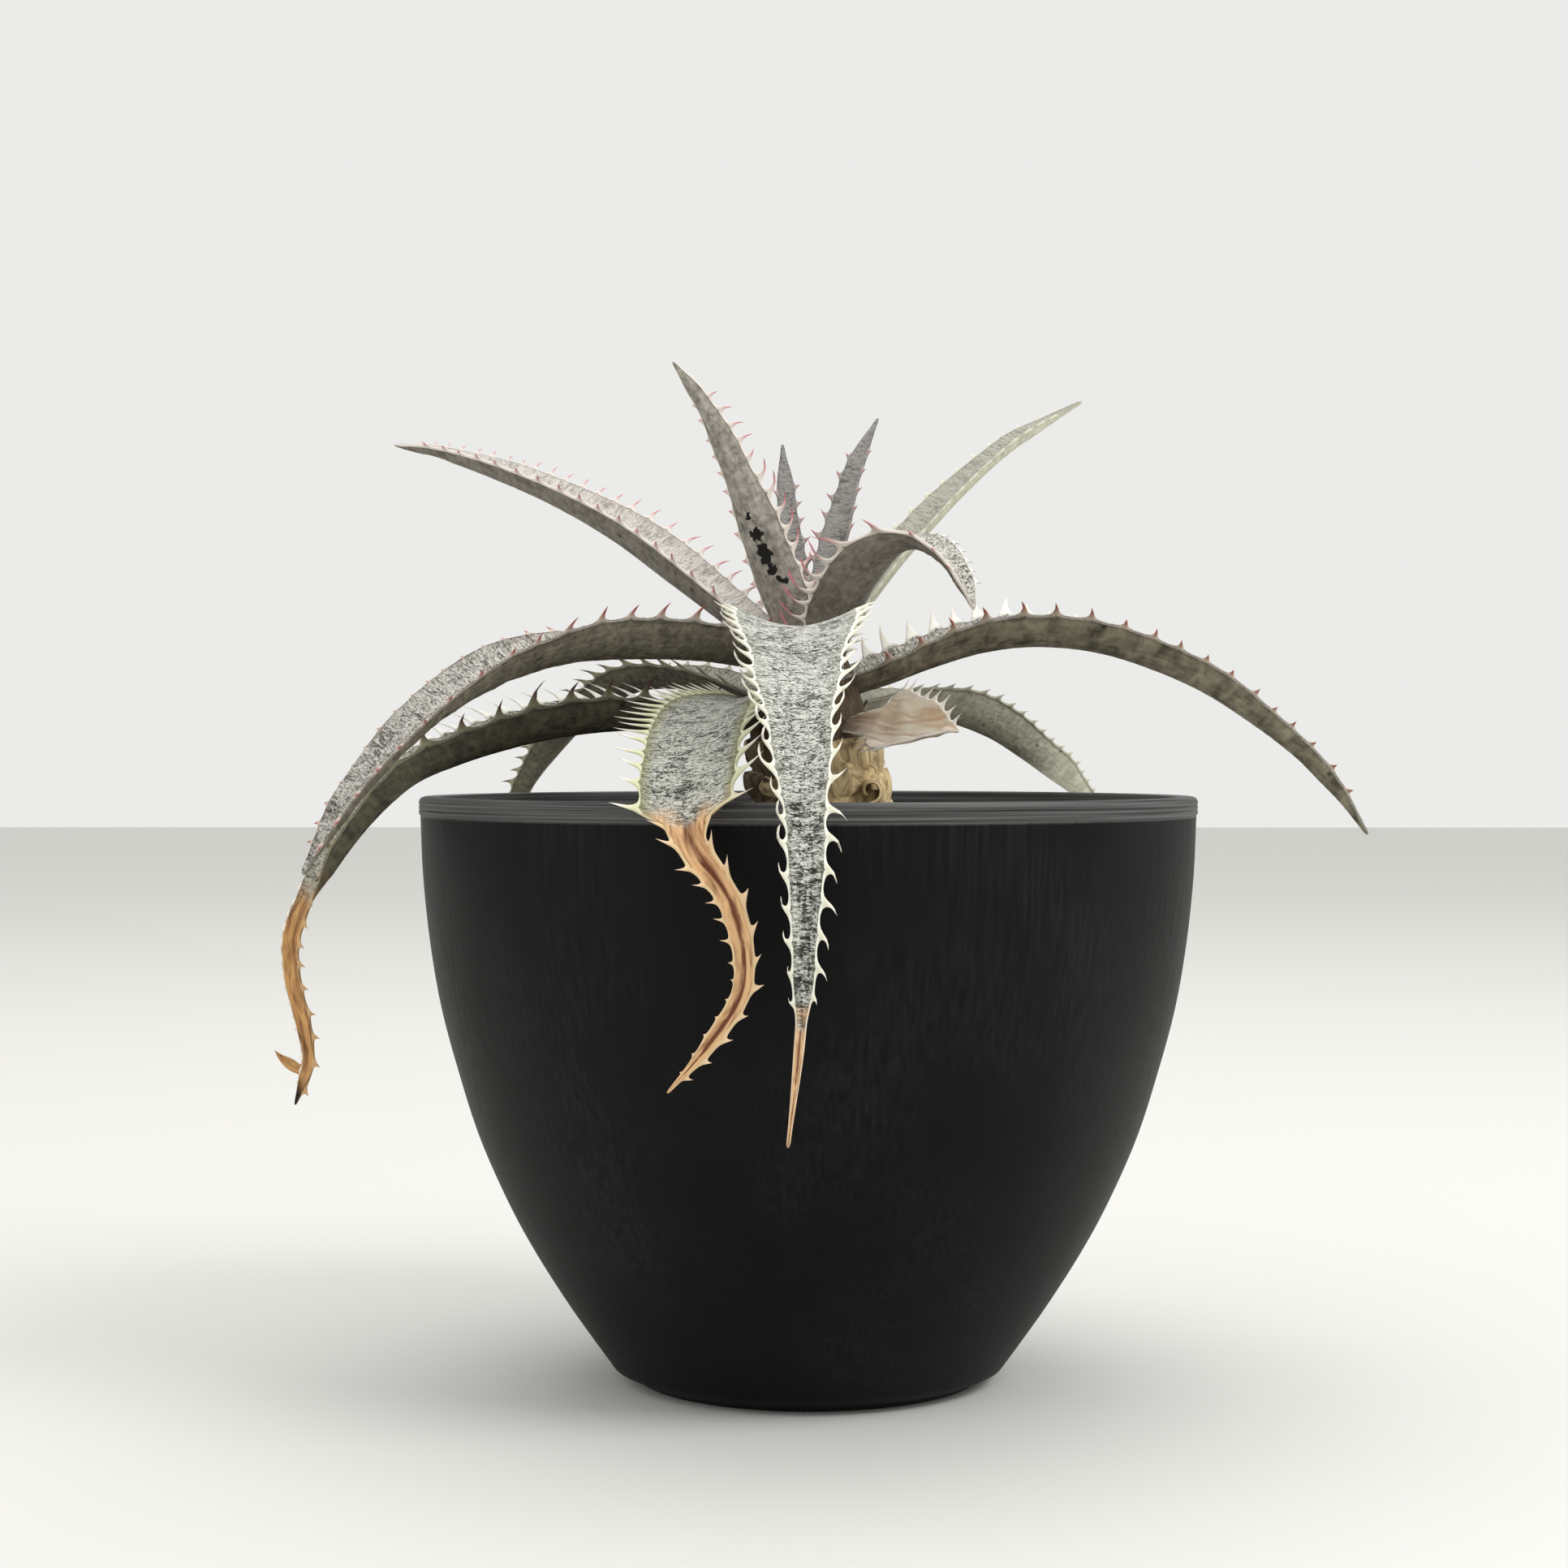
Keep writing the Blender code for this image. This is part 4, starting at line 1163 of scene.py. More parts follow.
    def store_marks(
        self, mesh: bpy.types.Mesh, skin: SkinPoints, flat: np.ndarray, drawn: np.ndarray
    ) -> None:
        """Store what the leaf's material reads from its mesh.

        Args:
            mesh: the leaf's mesh.
            skin: where its points stand.
            flat: their places on the leaf laid out flat.
            drawn: each point's share of the way to a spine's point.
        """
        on_spine = skin.reach > 0
        set_vectors(mesh, "leaf_mm", flat)
        set_floats(mesh, "under", np.where(skin.upper, 0.0, 1.0) * np.where(on_spine, 0.5, 1.0))
        set_floats(mesh, "tooth", np.where(on_spine, 0.3 + 0.7 * drawn, 0.0))
        blotch = smooth_noise(flat, 2.5, self.seed + 3) * 0.03
        set_floats(mesh, "dry", np.clip(keyed(self.dry, np.clip(skin.along + blotch, 0, 1)), 0, 1))
        set_floats(mesh, "share", np.abs(skin.share))
        set_floats(mesh, "along", skin.along)
        set_floats(mesh, "pale", (np.sign(skin.share) * self.pale_side > 0) * 1.0)
        # The heart number carries painted shade: 1 at the root, falling to 0 at heart_reach.
        set_floats(mesh, "heart", np.clip(1 - skin.distance / self.heart_reach, 0, 1))

    def build(self) -> bpy.types.Object:
        """Wrap a grid into the leaf, close it, and store what its material reads.

        The curve, the hooks and the scurf need every point placed, so the grid's points are moved by the
        leaf's formula and not by hand.

        Returns:
            The leaf's object, at the origin.
        """
        places, table = self.ring_places(), self.columns()
        bpy.ops.object.select_all(action="DESELECT")
        bpy.ops.mesh.primitive_grid_add(
            x_subdivisions=len(table) - 1, y_subdivisions=len(places) - 1, size=2.0
        )
        obj = start_primitive(f"{self.name}_blade")
        skin = self.lay_out(read_points(obj.data), places, table)
        # The two faces and the leaves lie apart on the flat plan, so that no pattern repeats on another.
        layer = np.where(skin.upper, 0.0, 40.0) + self.seed * 7.0
        flat = np.stack([skin.share * skin.half, skin.distance, layer], axis=-1)
        blade = self.blade_points(skin, flat)
        spines, away, drawn = self.spine_points(skin, places)
        on_spine = skin.reach > 0
        move_points(obj.data, np.where(on_spine[:, None], spines, blade))
        flat[:, 0] += np.where(on_spine, np.sign(skin.share) * away, 0.0)
        self.store_marks(obj.data, skin, flat, drawn)
        self.close(obj)
        return obj

    def close(self, obj: bpy.types.Object) -> None:
        """Merge the wrapped grid's seam, fill its two ends and shade it smooth.

        Args:
            obj: the leaf's object.
        """
        select_only(obj)
        bpy.ops.object.mode_set(mode="EDIT")
        bpy.ops.mesh.select_all(action="SELECT")
        bpy.ops.mesh.remove_doubles(threshold=0.002 * MM)
        bpy.ops.object.mode_set(mode="OBJECT")
        close_skin(obj, 60)


@dataclass
class Rosette:
    """The dyckia's leaves, from the front one round to the back, and the dead one under them."""

    leaves: list[Leaf] = field(default_factory=list)

    def __post_init__(self) -> None:
        """Collect the leaves in the order in which they are built."""
        groups = (
            self.front_leaves(), self.left_leaves(), self.upright_leaves(), self.outer_leaves(),
            self.dead_leaves(),
        )
        self.leaves = [leaf for group in groups for leaf in group]

    def front_leaves(self) -> list[Leaf]:
        """The two leaves that hang over the rim in front, silver above and withered to their tips.

        Returns:
            The leaves.
        """
        return [
            Leaf(
                name="leaf_front", facing=270, thickness=2.2, tissue=Tissue.GREEN, seed=11,
                path=(
                    (-1, -9, 135), (-1.5, -26, 140.5), (-2, -44, 143.2), (-2, -60, 140.3),
                    (-1.7, -74, 131.5), (-1, -84, 120.5), (-0.3, -91, 106), (-0.5, -93, 94),
                    (-0.8, -92, 82), (-1.6, -89.5, 71), (-3.3, -85, 55.7),
                ),
                width=(
                    (0, 15), (0.1, 18), (0.3, 21), (0.42, 14.5), (0.52, 10), (0.65, 6), (0.8, 3.4),
                    (0.86, 1.4), (1, 0.5),
                ),
                left=Spines(
                    size=5.8, pitch=3.8, first=7.0, bare_tip=22.0, slender=9.0,
                    lean=((0, -0.2), (0.5, -0.4), (0.57, -0.3), (0.62, 0.1), (1, 0.2)),
                    hook=((0, -1.0), (0.5, -1.3), (0.58, -1.0), (0.62, 1.5), (1, 1.6)),
                    grow=((0, 0.9), (0.45, 1), (0.6, 0.7), (0.75, 0.65), (0.84, 0.3), (1, 0.2)),
                    spread=((0, 1), (0.5, 1.15), (0.7, 1.4), (1, 1.5)),
                ),
                right=Spines(
                    size=6.6, pitch=3.5, first=6.0, bare_tip=22.0, slender=10.0,
                    lean=((0, -0.2), (0.4, -0.3), (1, -0.1)),
                    hook=((0, -1.0), (0.4, -1.4), (0.55, -1.9), (1, -2.0)),
                    grow=((0, 0.8), (0.3, 1), (0.5, 0.9), (0.6, 0.8), (0.72, 0.62), (0.8, 0.3), (1, 0.2)),
                    spread=((0, 1), (0.45, 1), (0.6, 1.4), (0.8, 1.6), (1, 1.6)),
                ),
                channel=((0, 0.35), (0.26, 0.3), (0.42, 0.12), (1, 0.25)),
                dry=((0, 0), (0.82, 0), (0.85, 1), (1, 1)),
            ),
            Leaf(
                name="leaf_front_left", facing=248, thickness=2.2, tissue=Tissue.GREEN_EDGED, seed=12,
                path=(
                    (-5, -12.5, 128.3), (-10.5, -26, 129.6), (-16, -42, 129.4), (-18.7, -58, 125),
                    (-19.8, -70, 118), (-20, -77, 111.5), (-19, -81.5, 105.5), (-15.6, -84, 101),
                    (-12.2, -85.5, 95.5), (-10.4, -86, 87.5), (-11.2, -86, 80.5), (-16.8, -85.5, 72),
                    (-23.3, -84, 64.6),
                ),
                width=(
                    (0, 14), (0.12, 15), (0.3, 17.5), (0.5, 16.5), (0.562, 15.6), (0.6, 6.6), (0.63, 4.6),
                    (0.7, 3.6), (0.88, 2.5), (1, 0.4),
                ),
                left=Spines(
                    size=6.2, pitch=2.9, first=6.0, bare_tip=3.0, slender=5.5,
                    lean=((0, -0.4), (0.5, -0.6), (0.57, 0.1), (0.62, -0.4), (1, -0.4)),
                    hook=((0, -0.6), (0.5, -0.35), (0.6, -0.2), (1, -0.3)),
                    grow=((0, 0.7), (0.35, 0.8), (0.44, 1), (0.57, 1), (0.62, 0.52), (1, 0.4)),
                    spread=((0, 1.1), (0.35, 1.2), (0.44, 1.8), (0.58, 1.9), (0.64, 1.5), (1, 1.5)),
                ),
                right=Spines(
                    size=7.6, pitch=2.3, first=5.0, bare_tip=3.0, slender=9.0,
                    lean=((0, 0.0), (0.4, -0.05), (0.5, -0.3), (0.57, -0.2), (0.6, -0.3), (1, -0.2)),
                    hook=((0, -0.5), (0.42, -0.55), (0.55, -0.3), (1, 0.3)),
                    grow=(
                        (0, 1), (0.42, 1), (0.5, 0.75), (0.56, 0.8), (0.61, 0.4), (0.72, 0.28),
                        (0.85, 0.08), (1, 0.05),
                    ),
                    spread=((0, 1.2), (0.36, 1.2), (0.43, 1.9), (0.55, 2.1), (0.6, 1.5), (1, 1.6)),
                ),
                channel=((0, 0.35), (0.35, 0.15), (0.56, 0.2), (0.62, 0.7), (0.8, 0.5), (1, 0.3)),
                twist=((0, 0), (0.3, 6), (0.58, -4), (0.7, -10), (1, -6)),
                dry=((0, 0), (0.55, 0), (0.6, 1), (1, 1)),
                crumple=((0, 0), (0.5, 0.1), (0.6, 0.7), (1, 0.4)),
            ),
        ]

    def left_leaves(self) -> list[Leaf]:
        """The leaves that arch out to the left, the lower one with a withered tip and a spur on it.

        Returns:
            The leaves.
        """
        return [
            Leaf(
                name="leaf_left_upper", facing=212, thickness=2.2, tissue=Tissue.RED, seed=13, relief=0.2,
                path=(
                    (-8.5, -5, 138.5), (-19, -12, 140), (-30.5, -20, 140.2), (-42, -28, 139.4),
                    (-52, -35, 136.8), (-60, -41, 132.8), (-67.5, -46, 127.4), (-75, -50, 119.8),
                    (-81, -52, 112.5), (-85.5, -53, 105.5), (-89, -53, 99.4),
                ),
                width=((0, 13), (0.1, 14), (0.25, 15), (0.5, 14.5), (0.7, 10), (0.85, 6.5), (1, 1)),
                left=Spines(
                    size=5.0, pitch=7.0, slender=8.0,
                    lean=((0, 0.5), (0.3, 0.2), (0.5, 0.0), (1, 0.1)),
                    hook=((0, -1.2), (0.3, -0.7), (0.5, -0.4), (1, 0.8)),
                    grow=((0, 1), (0.4, 0.85), (0.6, 0.5), (1, 0.4)),
                ),
                right=Spines(
                    size=4.4, pitch=5.2, web=0.34,
                    lean=((0, 0.0), (1, 0.2)),
                    hook=((0, 0.7), (1, 0.8)),
                    grow=((0, 1), (0.35, 0.6), (0.5, 0.15), (0.8, 0.12), (1, 0.35)),
                ),
                channel=((0, 0.5), (0.3, 0.6), (1, 0.35)),
                crumple=((0, 0), (0.4, 0.05), (0.7, 0.3), (1, 0.2)),
                twist=((0, 7), (0.3, 7), (0.5, -4), (0.7, -12), (1, -8)),
            ),
            Leaf(
                name="leaf_left_lower", facing=194, thickness=2.2, tissue=Tissue.OLIVE, seed=14,
                pale_side=1,
                path=(
                    (-12.5, -3.2, 126.6), (-21.5, -4.5, 126.8), (-35, -7, 126.8), (-46, -10, 125.7),
                    (-56.5, -13, 123.4), (-66.5, -16, 120.2), (-75, -18, 116.3), (-82.5, -20, 109.5),
                    (-89, -22, 101), (-94, -23, 92.5), (-96.2, -24, 85.5), (-95.7, -24, 78),
                    (-93.8, -24, 70), (-93.2, -24, 63), (-95.6, -24, 55.2),
                ),
                width=(
                    (0, 14), (0.1, 14), (0.22, 15.5), (0.45, 13), (0.64, 6.5), (0.72, 3.2), (0.86, 2.5),
                    (0.95, 1.8), (1, 0.5),
                ),
                left=Spines(
                    size=7.8, pitch=6.8, first=6.0, bare_tip=3.0, web=0.32, slender=8.0,
                    lean=((0, 0.3), (0.5, 0.35), (0.7, 0.2), (1, 0.2)),
                    hook=((0, -1.0), (0.5, -0.9), (0.7, 0.4), (1, 0.4)),
                    grow=((0, 0.9), (0.3, 1), (0.5, 0.75), (0.62, 0.35), (1, 0.25)),
                    spread=((0, 1), (0.6, 0.9), (0.7, 0.62), (1, 0.7)),
                ),
                right=Spines(
                    size=8.6, pitch=3.4, first=6.0, bare_tip=3.0, web=0.45, slender=4.0,
                    lean=((0, 0.5), (0.5, 0.4), (1, 0.2)),
                    hook=((0, 0.5), (1, 0.5)),
                    grow=((0, 0.7), (0.12, 1), (0.5, 0.75), (0.62, 0.2), (0.7, 0.06), (1, 0.05)),
                ),
                channel=((0, 0.5), (0.3, 0.6), (1, 0.4)),
                dry=((0, 0), (0.66, 0), (0.74, 1), (1, 1)),
                crumple=((0, 0), (0.68, 0), (0.76, 0.5), (1, 0.4)),
                twist=((0, 0), (0.62, 0), (0.76, -65), (1, -70)),
                offshoots=(
                    Leaf(
                        name="withered_spur", facing=170, thickness=0.7, tissue=Tissue.OLIVE, seed=30,
                        edge=0.4, sheath=1.0, upper_columns=10, lower_columns=8,
                        path=(
                            (-94.2, -24, 61.4), (-96, -24.2, 62.2), (-98, -24.2, 63.8), (-99.4, -24, 65.4),
                        ),
                        width=((0, 1.6), (0.4, 2.0), (1, 0.3)),
                        twist=((0, 70), (1, 70)),
                        dry=((0, 1), (1, 1)),
                    ),
                ),
            ),
            Leaf(
                name="leaf_left_high", facing=160, thickness=2.0, tissue=Tissue.PINK, seed=15,
                path=(
                    (-8.5, 2.5, 142), (-17.5, 8, 149), (-27.4, 14, 156.6), (-38.5, 20, 165), (-52, 26, 173),
                    (-67, 32, 179.8), (-76.5, 36, 183.2), (-86.2, 40, 184.9),
                ),
                width=((0, 12), (0.12, 13), (0.3, 14.5), (0.7, 10.5), (0.92, 3.4), (1, 0.6)),
                left=Spines(
                    size=3.6, pitch=5.8, slender=8.0,
                    lean=((0, 0.2), (1, 0.3)),
                    hook=((0, -0.8), (1, -0.4)),
                ),
                right=Spines(
                    size=5.0, pitch=4.4, slender=8.0,
                    lean=((0, 0.2), (1, 0.3)),
                    hook=((0, -0.8), (1, -0.4)),
                ),
                channel=((0, 0.5), (0.3, 0.6), (1, 0.3)),
                twist=((0, -4), (0.5, -6), (1, -4)),
            ),
        ]

    def upright_leaves(self) -> list[Leaf]:
        """The leaves that stand up from the heart, and the one that folds over in front of them.

        Returns:
            The leaves.
        """
        return [
            Leaf(
                name="leaf_upright_left", facing=252, thickness=1.8, tissue=Tissue.SCARRED, seed=16,
                path=(
                    (-3.6, -6, 147), (-5.6, -6.6, 152.5), (-8.7, -7.5, 161), (-11.4, -9, 168.6),
                    (-14.5, -11, 176), (-18.4, -13.5, 184.3), (-22.3, -16, 190.3), (-25.4, -18, 194.3),
                ),
                width=((0, 8.5), (0.12, 9), (0.3, 8.2), (0.6, 5.2), (0.85, 2.8), (1, 0.6)),
                left=Spines(
                    size=5.6, pitch=4.2, first=4.0, bare_tip=8.0, slender=9.0, web=0.3,
                    lean=((0, 0.0), (1, 0.2)),
                    hook=((0, 1.2), (0.5, 1.6), (0.7, -0.8), (1, -0.6)),
                    grow=((0, 1), (0.45, 0.9), (0.6, 0.55), (1, 0.35)),
                ),
                right=Spines(
                    size=2.4, pitch=4.4, first=4.0, bare_tip=7.0, web=0.45, slender=5.0,
                    hook=((0, 0.4), (1, 0.4)),
                ),
                channel=((0, 0.4), (1, 0.3)),
            ),
            Leaf(
                name="leaf_upright_back", facing=110, thickness=1.5, tissue=Tissue.DUSK, seed=17,
                path=((-1.6, 4.6, 150), (-3, 8, 156), (-4, 11, 164.5), (-4.5, 13, 173), (-5.1, 15, 182.3)),
                width=((0, 5), (0.3, 5.2), (0.7, 3.2), (1, 0.6)),
                left=Spines(size=2.4, pitch=4.6, first=3.0, bare_tip=7.0),
                right=Spines(size=2.4, pitch=4.6, first=5.0, bare_tip=7.0),
                channel=((0, 0.4), (1, 0.2)),
            ),
            Leaf(
                name="leaf_upright_right", facing=62, thickness=1.5, tissue=Tissue.DUSK, seed=18,
                path=(
                    (2.6, 3, 150.5), (4, 5.5, 156), (6.2, 9, 165.3), (8.6, 12, 175), (11.2, 14, 181.8),
                    (14, 16, 187.6),
                ),
                width=((0, 5.4), (0.3, 5.6), (0.7, 3.6), (1, 0.6)),
                left=Spines(size=2.8, pitch=5.0, first=4.0, bare_tip=7.0),
                right=Spines(size=2.4, pitch=5.0, first=6.0, bare_tip=7.0),
                channel=((0, 0.4), (1, 0.2)),
            ),
            Leaf(
                name="leaf_back_high", facing=45, thickness=1.8, tissue=Tissue.SAGE, seed=19,
                slot="scurfy_leaf",
                path=(
                    (6.6, 6.6, 143.5), (11.5, 14, 151.5), (20, 24, 162.5), (31, 36, 174.9), (42, 47, 185.3),
                    (51, 55, 191.4), (58.7, 60, 196.1),
                ),
                width=((0, 9), (0.15, 9.5), (0.4, 8), (0.75, 5.2), (1, 0.8)),
                left=Spines(size=2.2, pitch=6.0, web=0.4),
                right=Spines(size=2.0, pitch=6.2, web=0.4),
                channel=((0, 0.5), (1, 0.4)),
            ),
            Leaf(
                name="leaf_folded", facing=318, thickness=1.8, tissue=Tissue.CRUSTED, seed=20, pale_side=-1,
                relief=0.24,
                path=(
                    (5.6, -5.6, 142.8), (7.2, -8.5, 148), (10.5, -13, 154), (15, -17, 159),
                    (20.5, -20.5, 160.2), (25.6, -23, 157.2), (29, -24.5, 152), (30.8, -25, 147.3),
                ),
                width=((0, 13), (0.14, 15), (0.36, 16), (0.65, 9.5), (0.85, 5), (1, 0.8)),
                left=Spines(
                    size=6.0, pitch=2.9, first=2.0, bare_tip=3.0, web=0.4, slender=8.0,
                    lean=((0, 0.9), (0.45, 0.8), (1, 0.4)),
                    hook=((0, 0.3), (1, 0.6)),
                    grow=((0, 1), (0.4, 1), (0.52, 0.35), (1, 0.3)),
                ),
                right=Spines(
                    size=8.0, pitch=2.7, first=1.5, bare_tip=6.0, slender=10.0, web=0.2,
                    lean=((0, -0.2), (0.3, -0.1), (0.42, 0.1), (1, 0.1)),
                    hook=((0, 1.5), (0.3, 1.3), (0.42, -0.6), (0.6, -0.5), (1, -0.4)),
                    grow=((0, 1), (0.5, 0.9), (0.58, 0.35), (1, 0.25)),
                    spread=((0, 1), (0.3, 1.2), (0.42, 2.3), (0.6, 1.6), (1, 1.2)),
                ),
                channel=((0, 0.4), (0.5, 0.3), (1, 0.3)),
            ),
        ]

    def outer_leaves(self) -> list[Leaf]:
        """The leaf that arches out to the right, and the two that go down behind the rim.

        Returns:
            The leaves.
        """
        return [
            Leaf(
                name="leaf_right", facing=7, thickness=2.2, tissue=Tissue.WEATHERED, seed=21, pale_side=-1,
                heart_reach=6.0,
                path=(
                    (9.3, 0.6, 134), (15.5, 2, 136), (24, 4, 139.2), (34.2, 6, 142.2), (44.7, 8, 143.4),
                    (56, 10, 142.6), (66.7, 12, 139.8), (78.2, 13, 135), (88, 14, 129), (97.7, 14, 121.6),
                    (105.4, 14, 113.2), (111.3, 14, 104.6),
                ),
                width=((0, 12), (0.08, 13), (0.2, 14.5), (0.6, 10.5), (0.85, 5.5), (1, 0.8)),
                left=Spines(
                    size=7.6, pitch=4.6, first=6.0, bare_tip=5.0, web=0.7, slender=4.0,
                    lean=((0, -0.1), (1, 0.1)),
                    hook=((0, 0.5), (1, 0.5)),
                    grow=((0, 1), (0.24, 1), (0.36, 0.45), (1, 0.3)),
                ),
                right=Spines(
                    size=5.8, pitch=7.0, first=6.0, bare_tip=5.0, slender=9.0, web=0.3,
                    lean=((0, 0.15), (1, 0.1)),
                    hook=((0, -0.9), (0.5, -0.6), (1, 0.3)),
                    grow=((0, 1), (0.25, 0.9), (0.4, 0.55), (0.6, 0.4), (1, 0.3)),
                ),
                channel=((0, 0.5), (0.3, 0.6), (1, 0.35)),
                twist=((0, 8), (0.25, 2), (0.6, -4), (1, -3)),
            ),
            Leaf(
                name="leaf_back_right", facing=47, thickness=2.0, tissue=Tissue.SAGE, seed=22,
                heart_reach=6.0,
                path=(
                    (10.5, 10, 128), (18, 18.5, 129.6), (28.4, 30, 128.8), (38.6, 42, 125.4),
                    (46.6, 52, 120.8), (53.2, 60.5, 116.4), (58.6, 68.5, 112.6), (63, 76, 106.6),
                ),
                width=((0, 12), (0.12, 13), (0.3, 15), (0.7, 10), (0.9, 5), (1, 0.8)),
                left=Spines(size=2.4, pitch=4.6, web=0.4),
                right=Spines(size=2.2, pitch=5.0, web=0.4),
                channel=((0, 0.6), (1, 0.5)),
            ),
            Leaf(
                name="leaf_back_left", facing=134, thickness=2.0, tissue=Tissue.OLIVE, seed=23,
                slot="scurfy_leaf",
                path=(
                    (-8.5, 9.3, 129.8), (-20.5, 20, 134.3), (-32.6, 32, 135.4), (-42, 44, 132.4),
                    (-50, 54, 126.6), (-56.5, 62.5, 120.2), (-61.6, 70.5, 114), (-65.5, 77, 106.6),
                ),
                width=((0, 12), (0.12, 12), (0.3, 13), (0.7, 8.5), (0.9, 5), (1, 0.8)),
                left=Spines(size=5.0, pitch=5.6, web=0.5, slender=9.0),
                right=Spines(size=4.0, pitch=6.4, web=0.3),
                channel=((0, 0.5), (1, 0.35)),
            ),
        ]

    def dead_leaves(self) -> list[Leaf]:
        """The dried leaf under the others, crumpled and turned on its edge.

        Returns:
            The leaf, in a list.
        """
        return [
            Leaf(
                name="dead_leaf", facing=306, thickness=1.2, tissue=Tissue.DEAD, seed=24, edge=0.5,
                heart_reach=9.0,
                path=(
                    (7.6, -9.0, 126), (12, -15, 126.2), (17, -22, 125.8), (22.5, -28, 125.4),
                    (27.4, -33, 125),
                ),
                width=((0, 3.5), (0.26, 6), (0.5, 13), (0.74, 9.5), (1, 1.2)),
                left=Spines(
                    size=3.8, pitch=2.6, first=10.0, bare_tip=1.5, slender=5.0,
                    lean=((0, 0.5), (1, 0.6)),
                    hook=((0, 0.3), (1, 0.3)),
                    grow=((0, 1), (1, 0.8)),
                ),
                right=Spines(
                    size=3.2, pitch=2.4, first=10.0, bare_tip=12.0, slender=5.0,
                    lean=((0, -0.6), (1, -0.4)),
                    hook=((0, -0.2), (1, -0.2)),
                ),
                channel=((0, 0.2), (1, 0.5)),
                twist=((0, 48), (0.5, 56), (1, 44)),
                dry=((0, 1), (1, 1)),
                crumple=((0, 0.9), (1, 0.8)),
            ),
        ]

    def build(self, materials: dict[Tissue, bpy.types.Material]) -> None:
        """Make every leaf and let it stand for its CAD node.

        Args:
            materials: the material of each kind of tissue.
        """
        for leaf in self.leaves:
            blade = leaf.build()
            join_into(blade, [shoot.build() for shoot in leaf.offshoots])
            finish_piece(blade, materials[leaf.tissue], leaf.name)


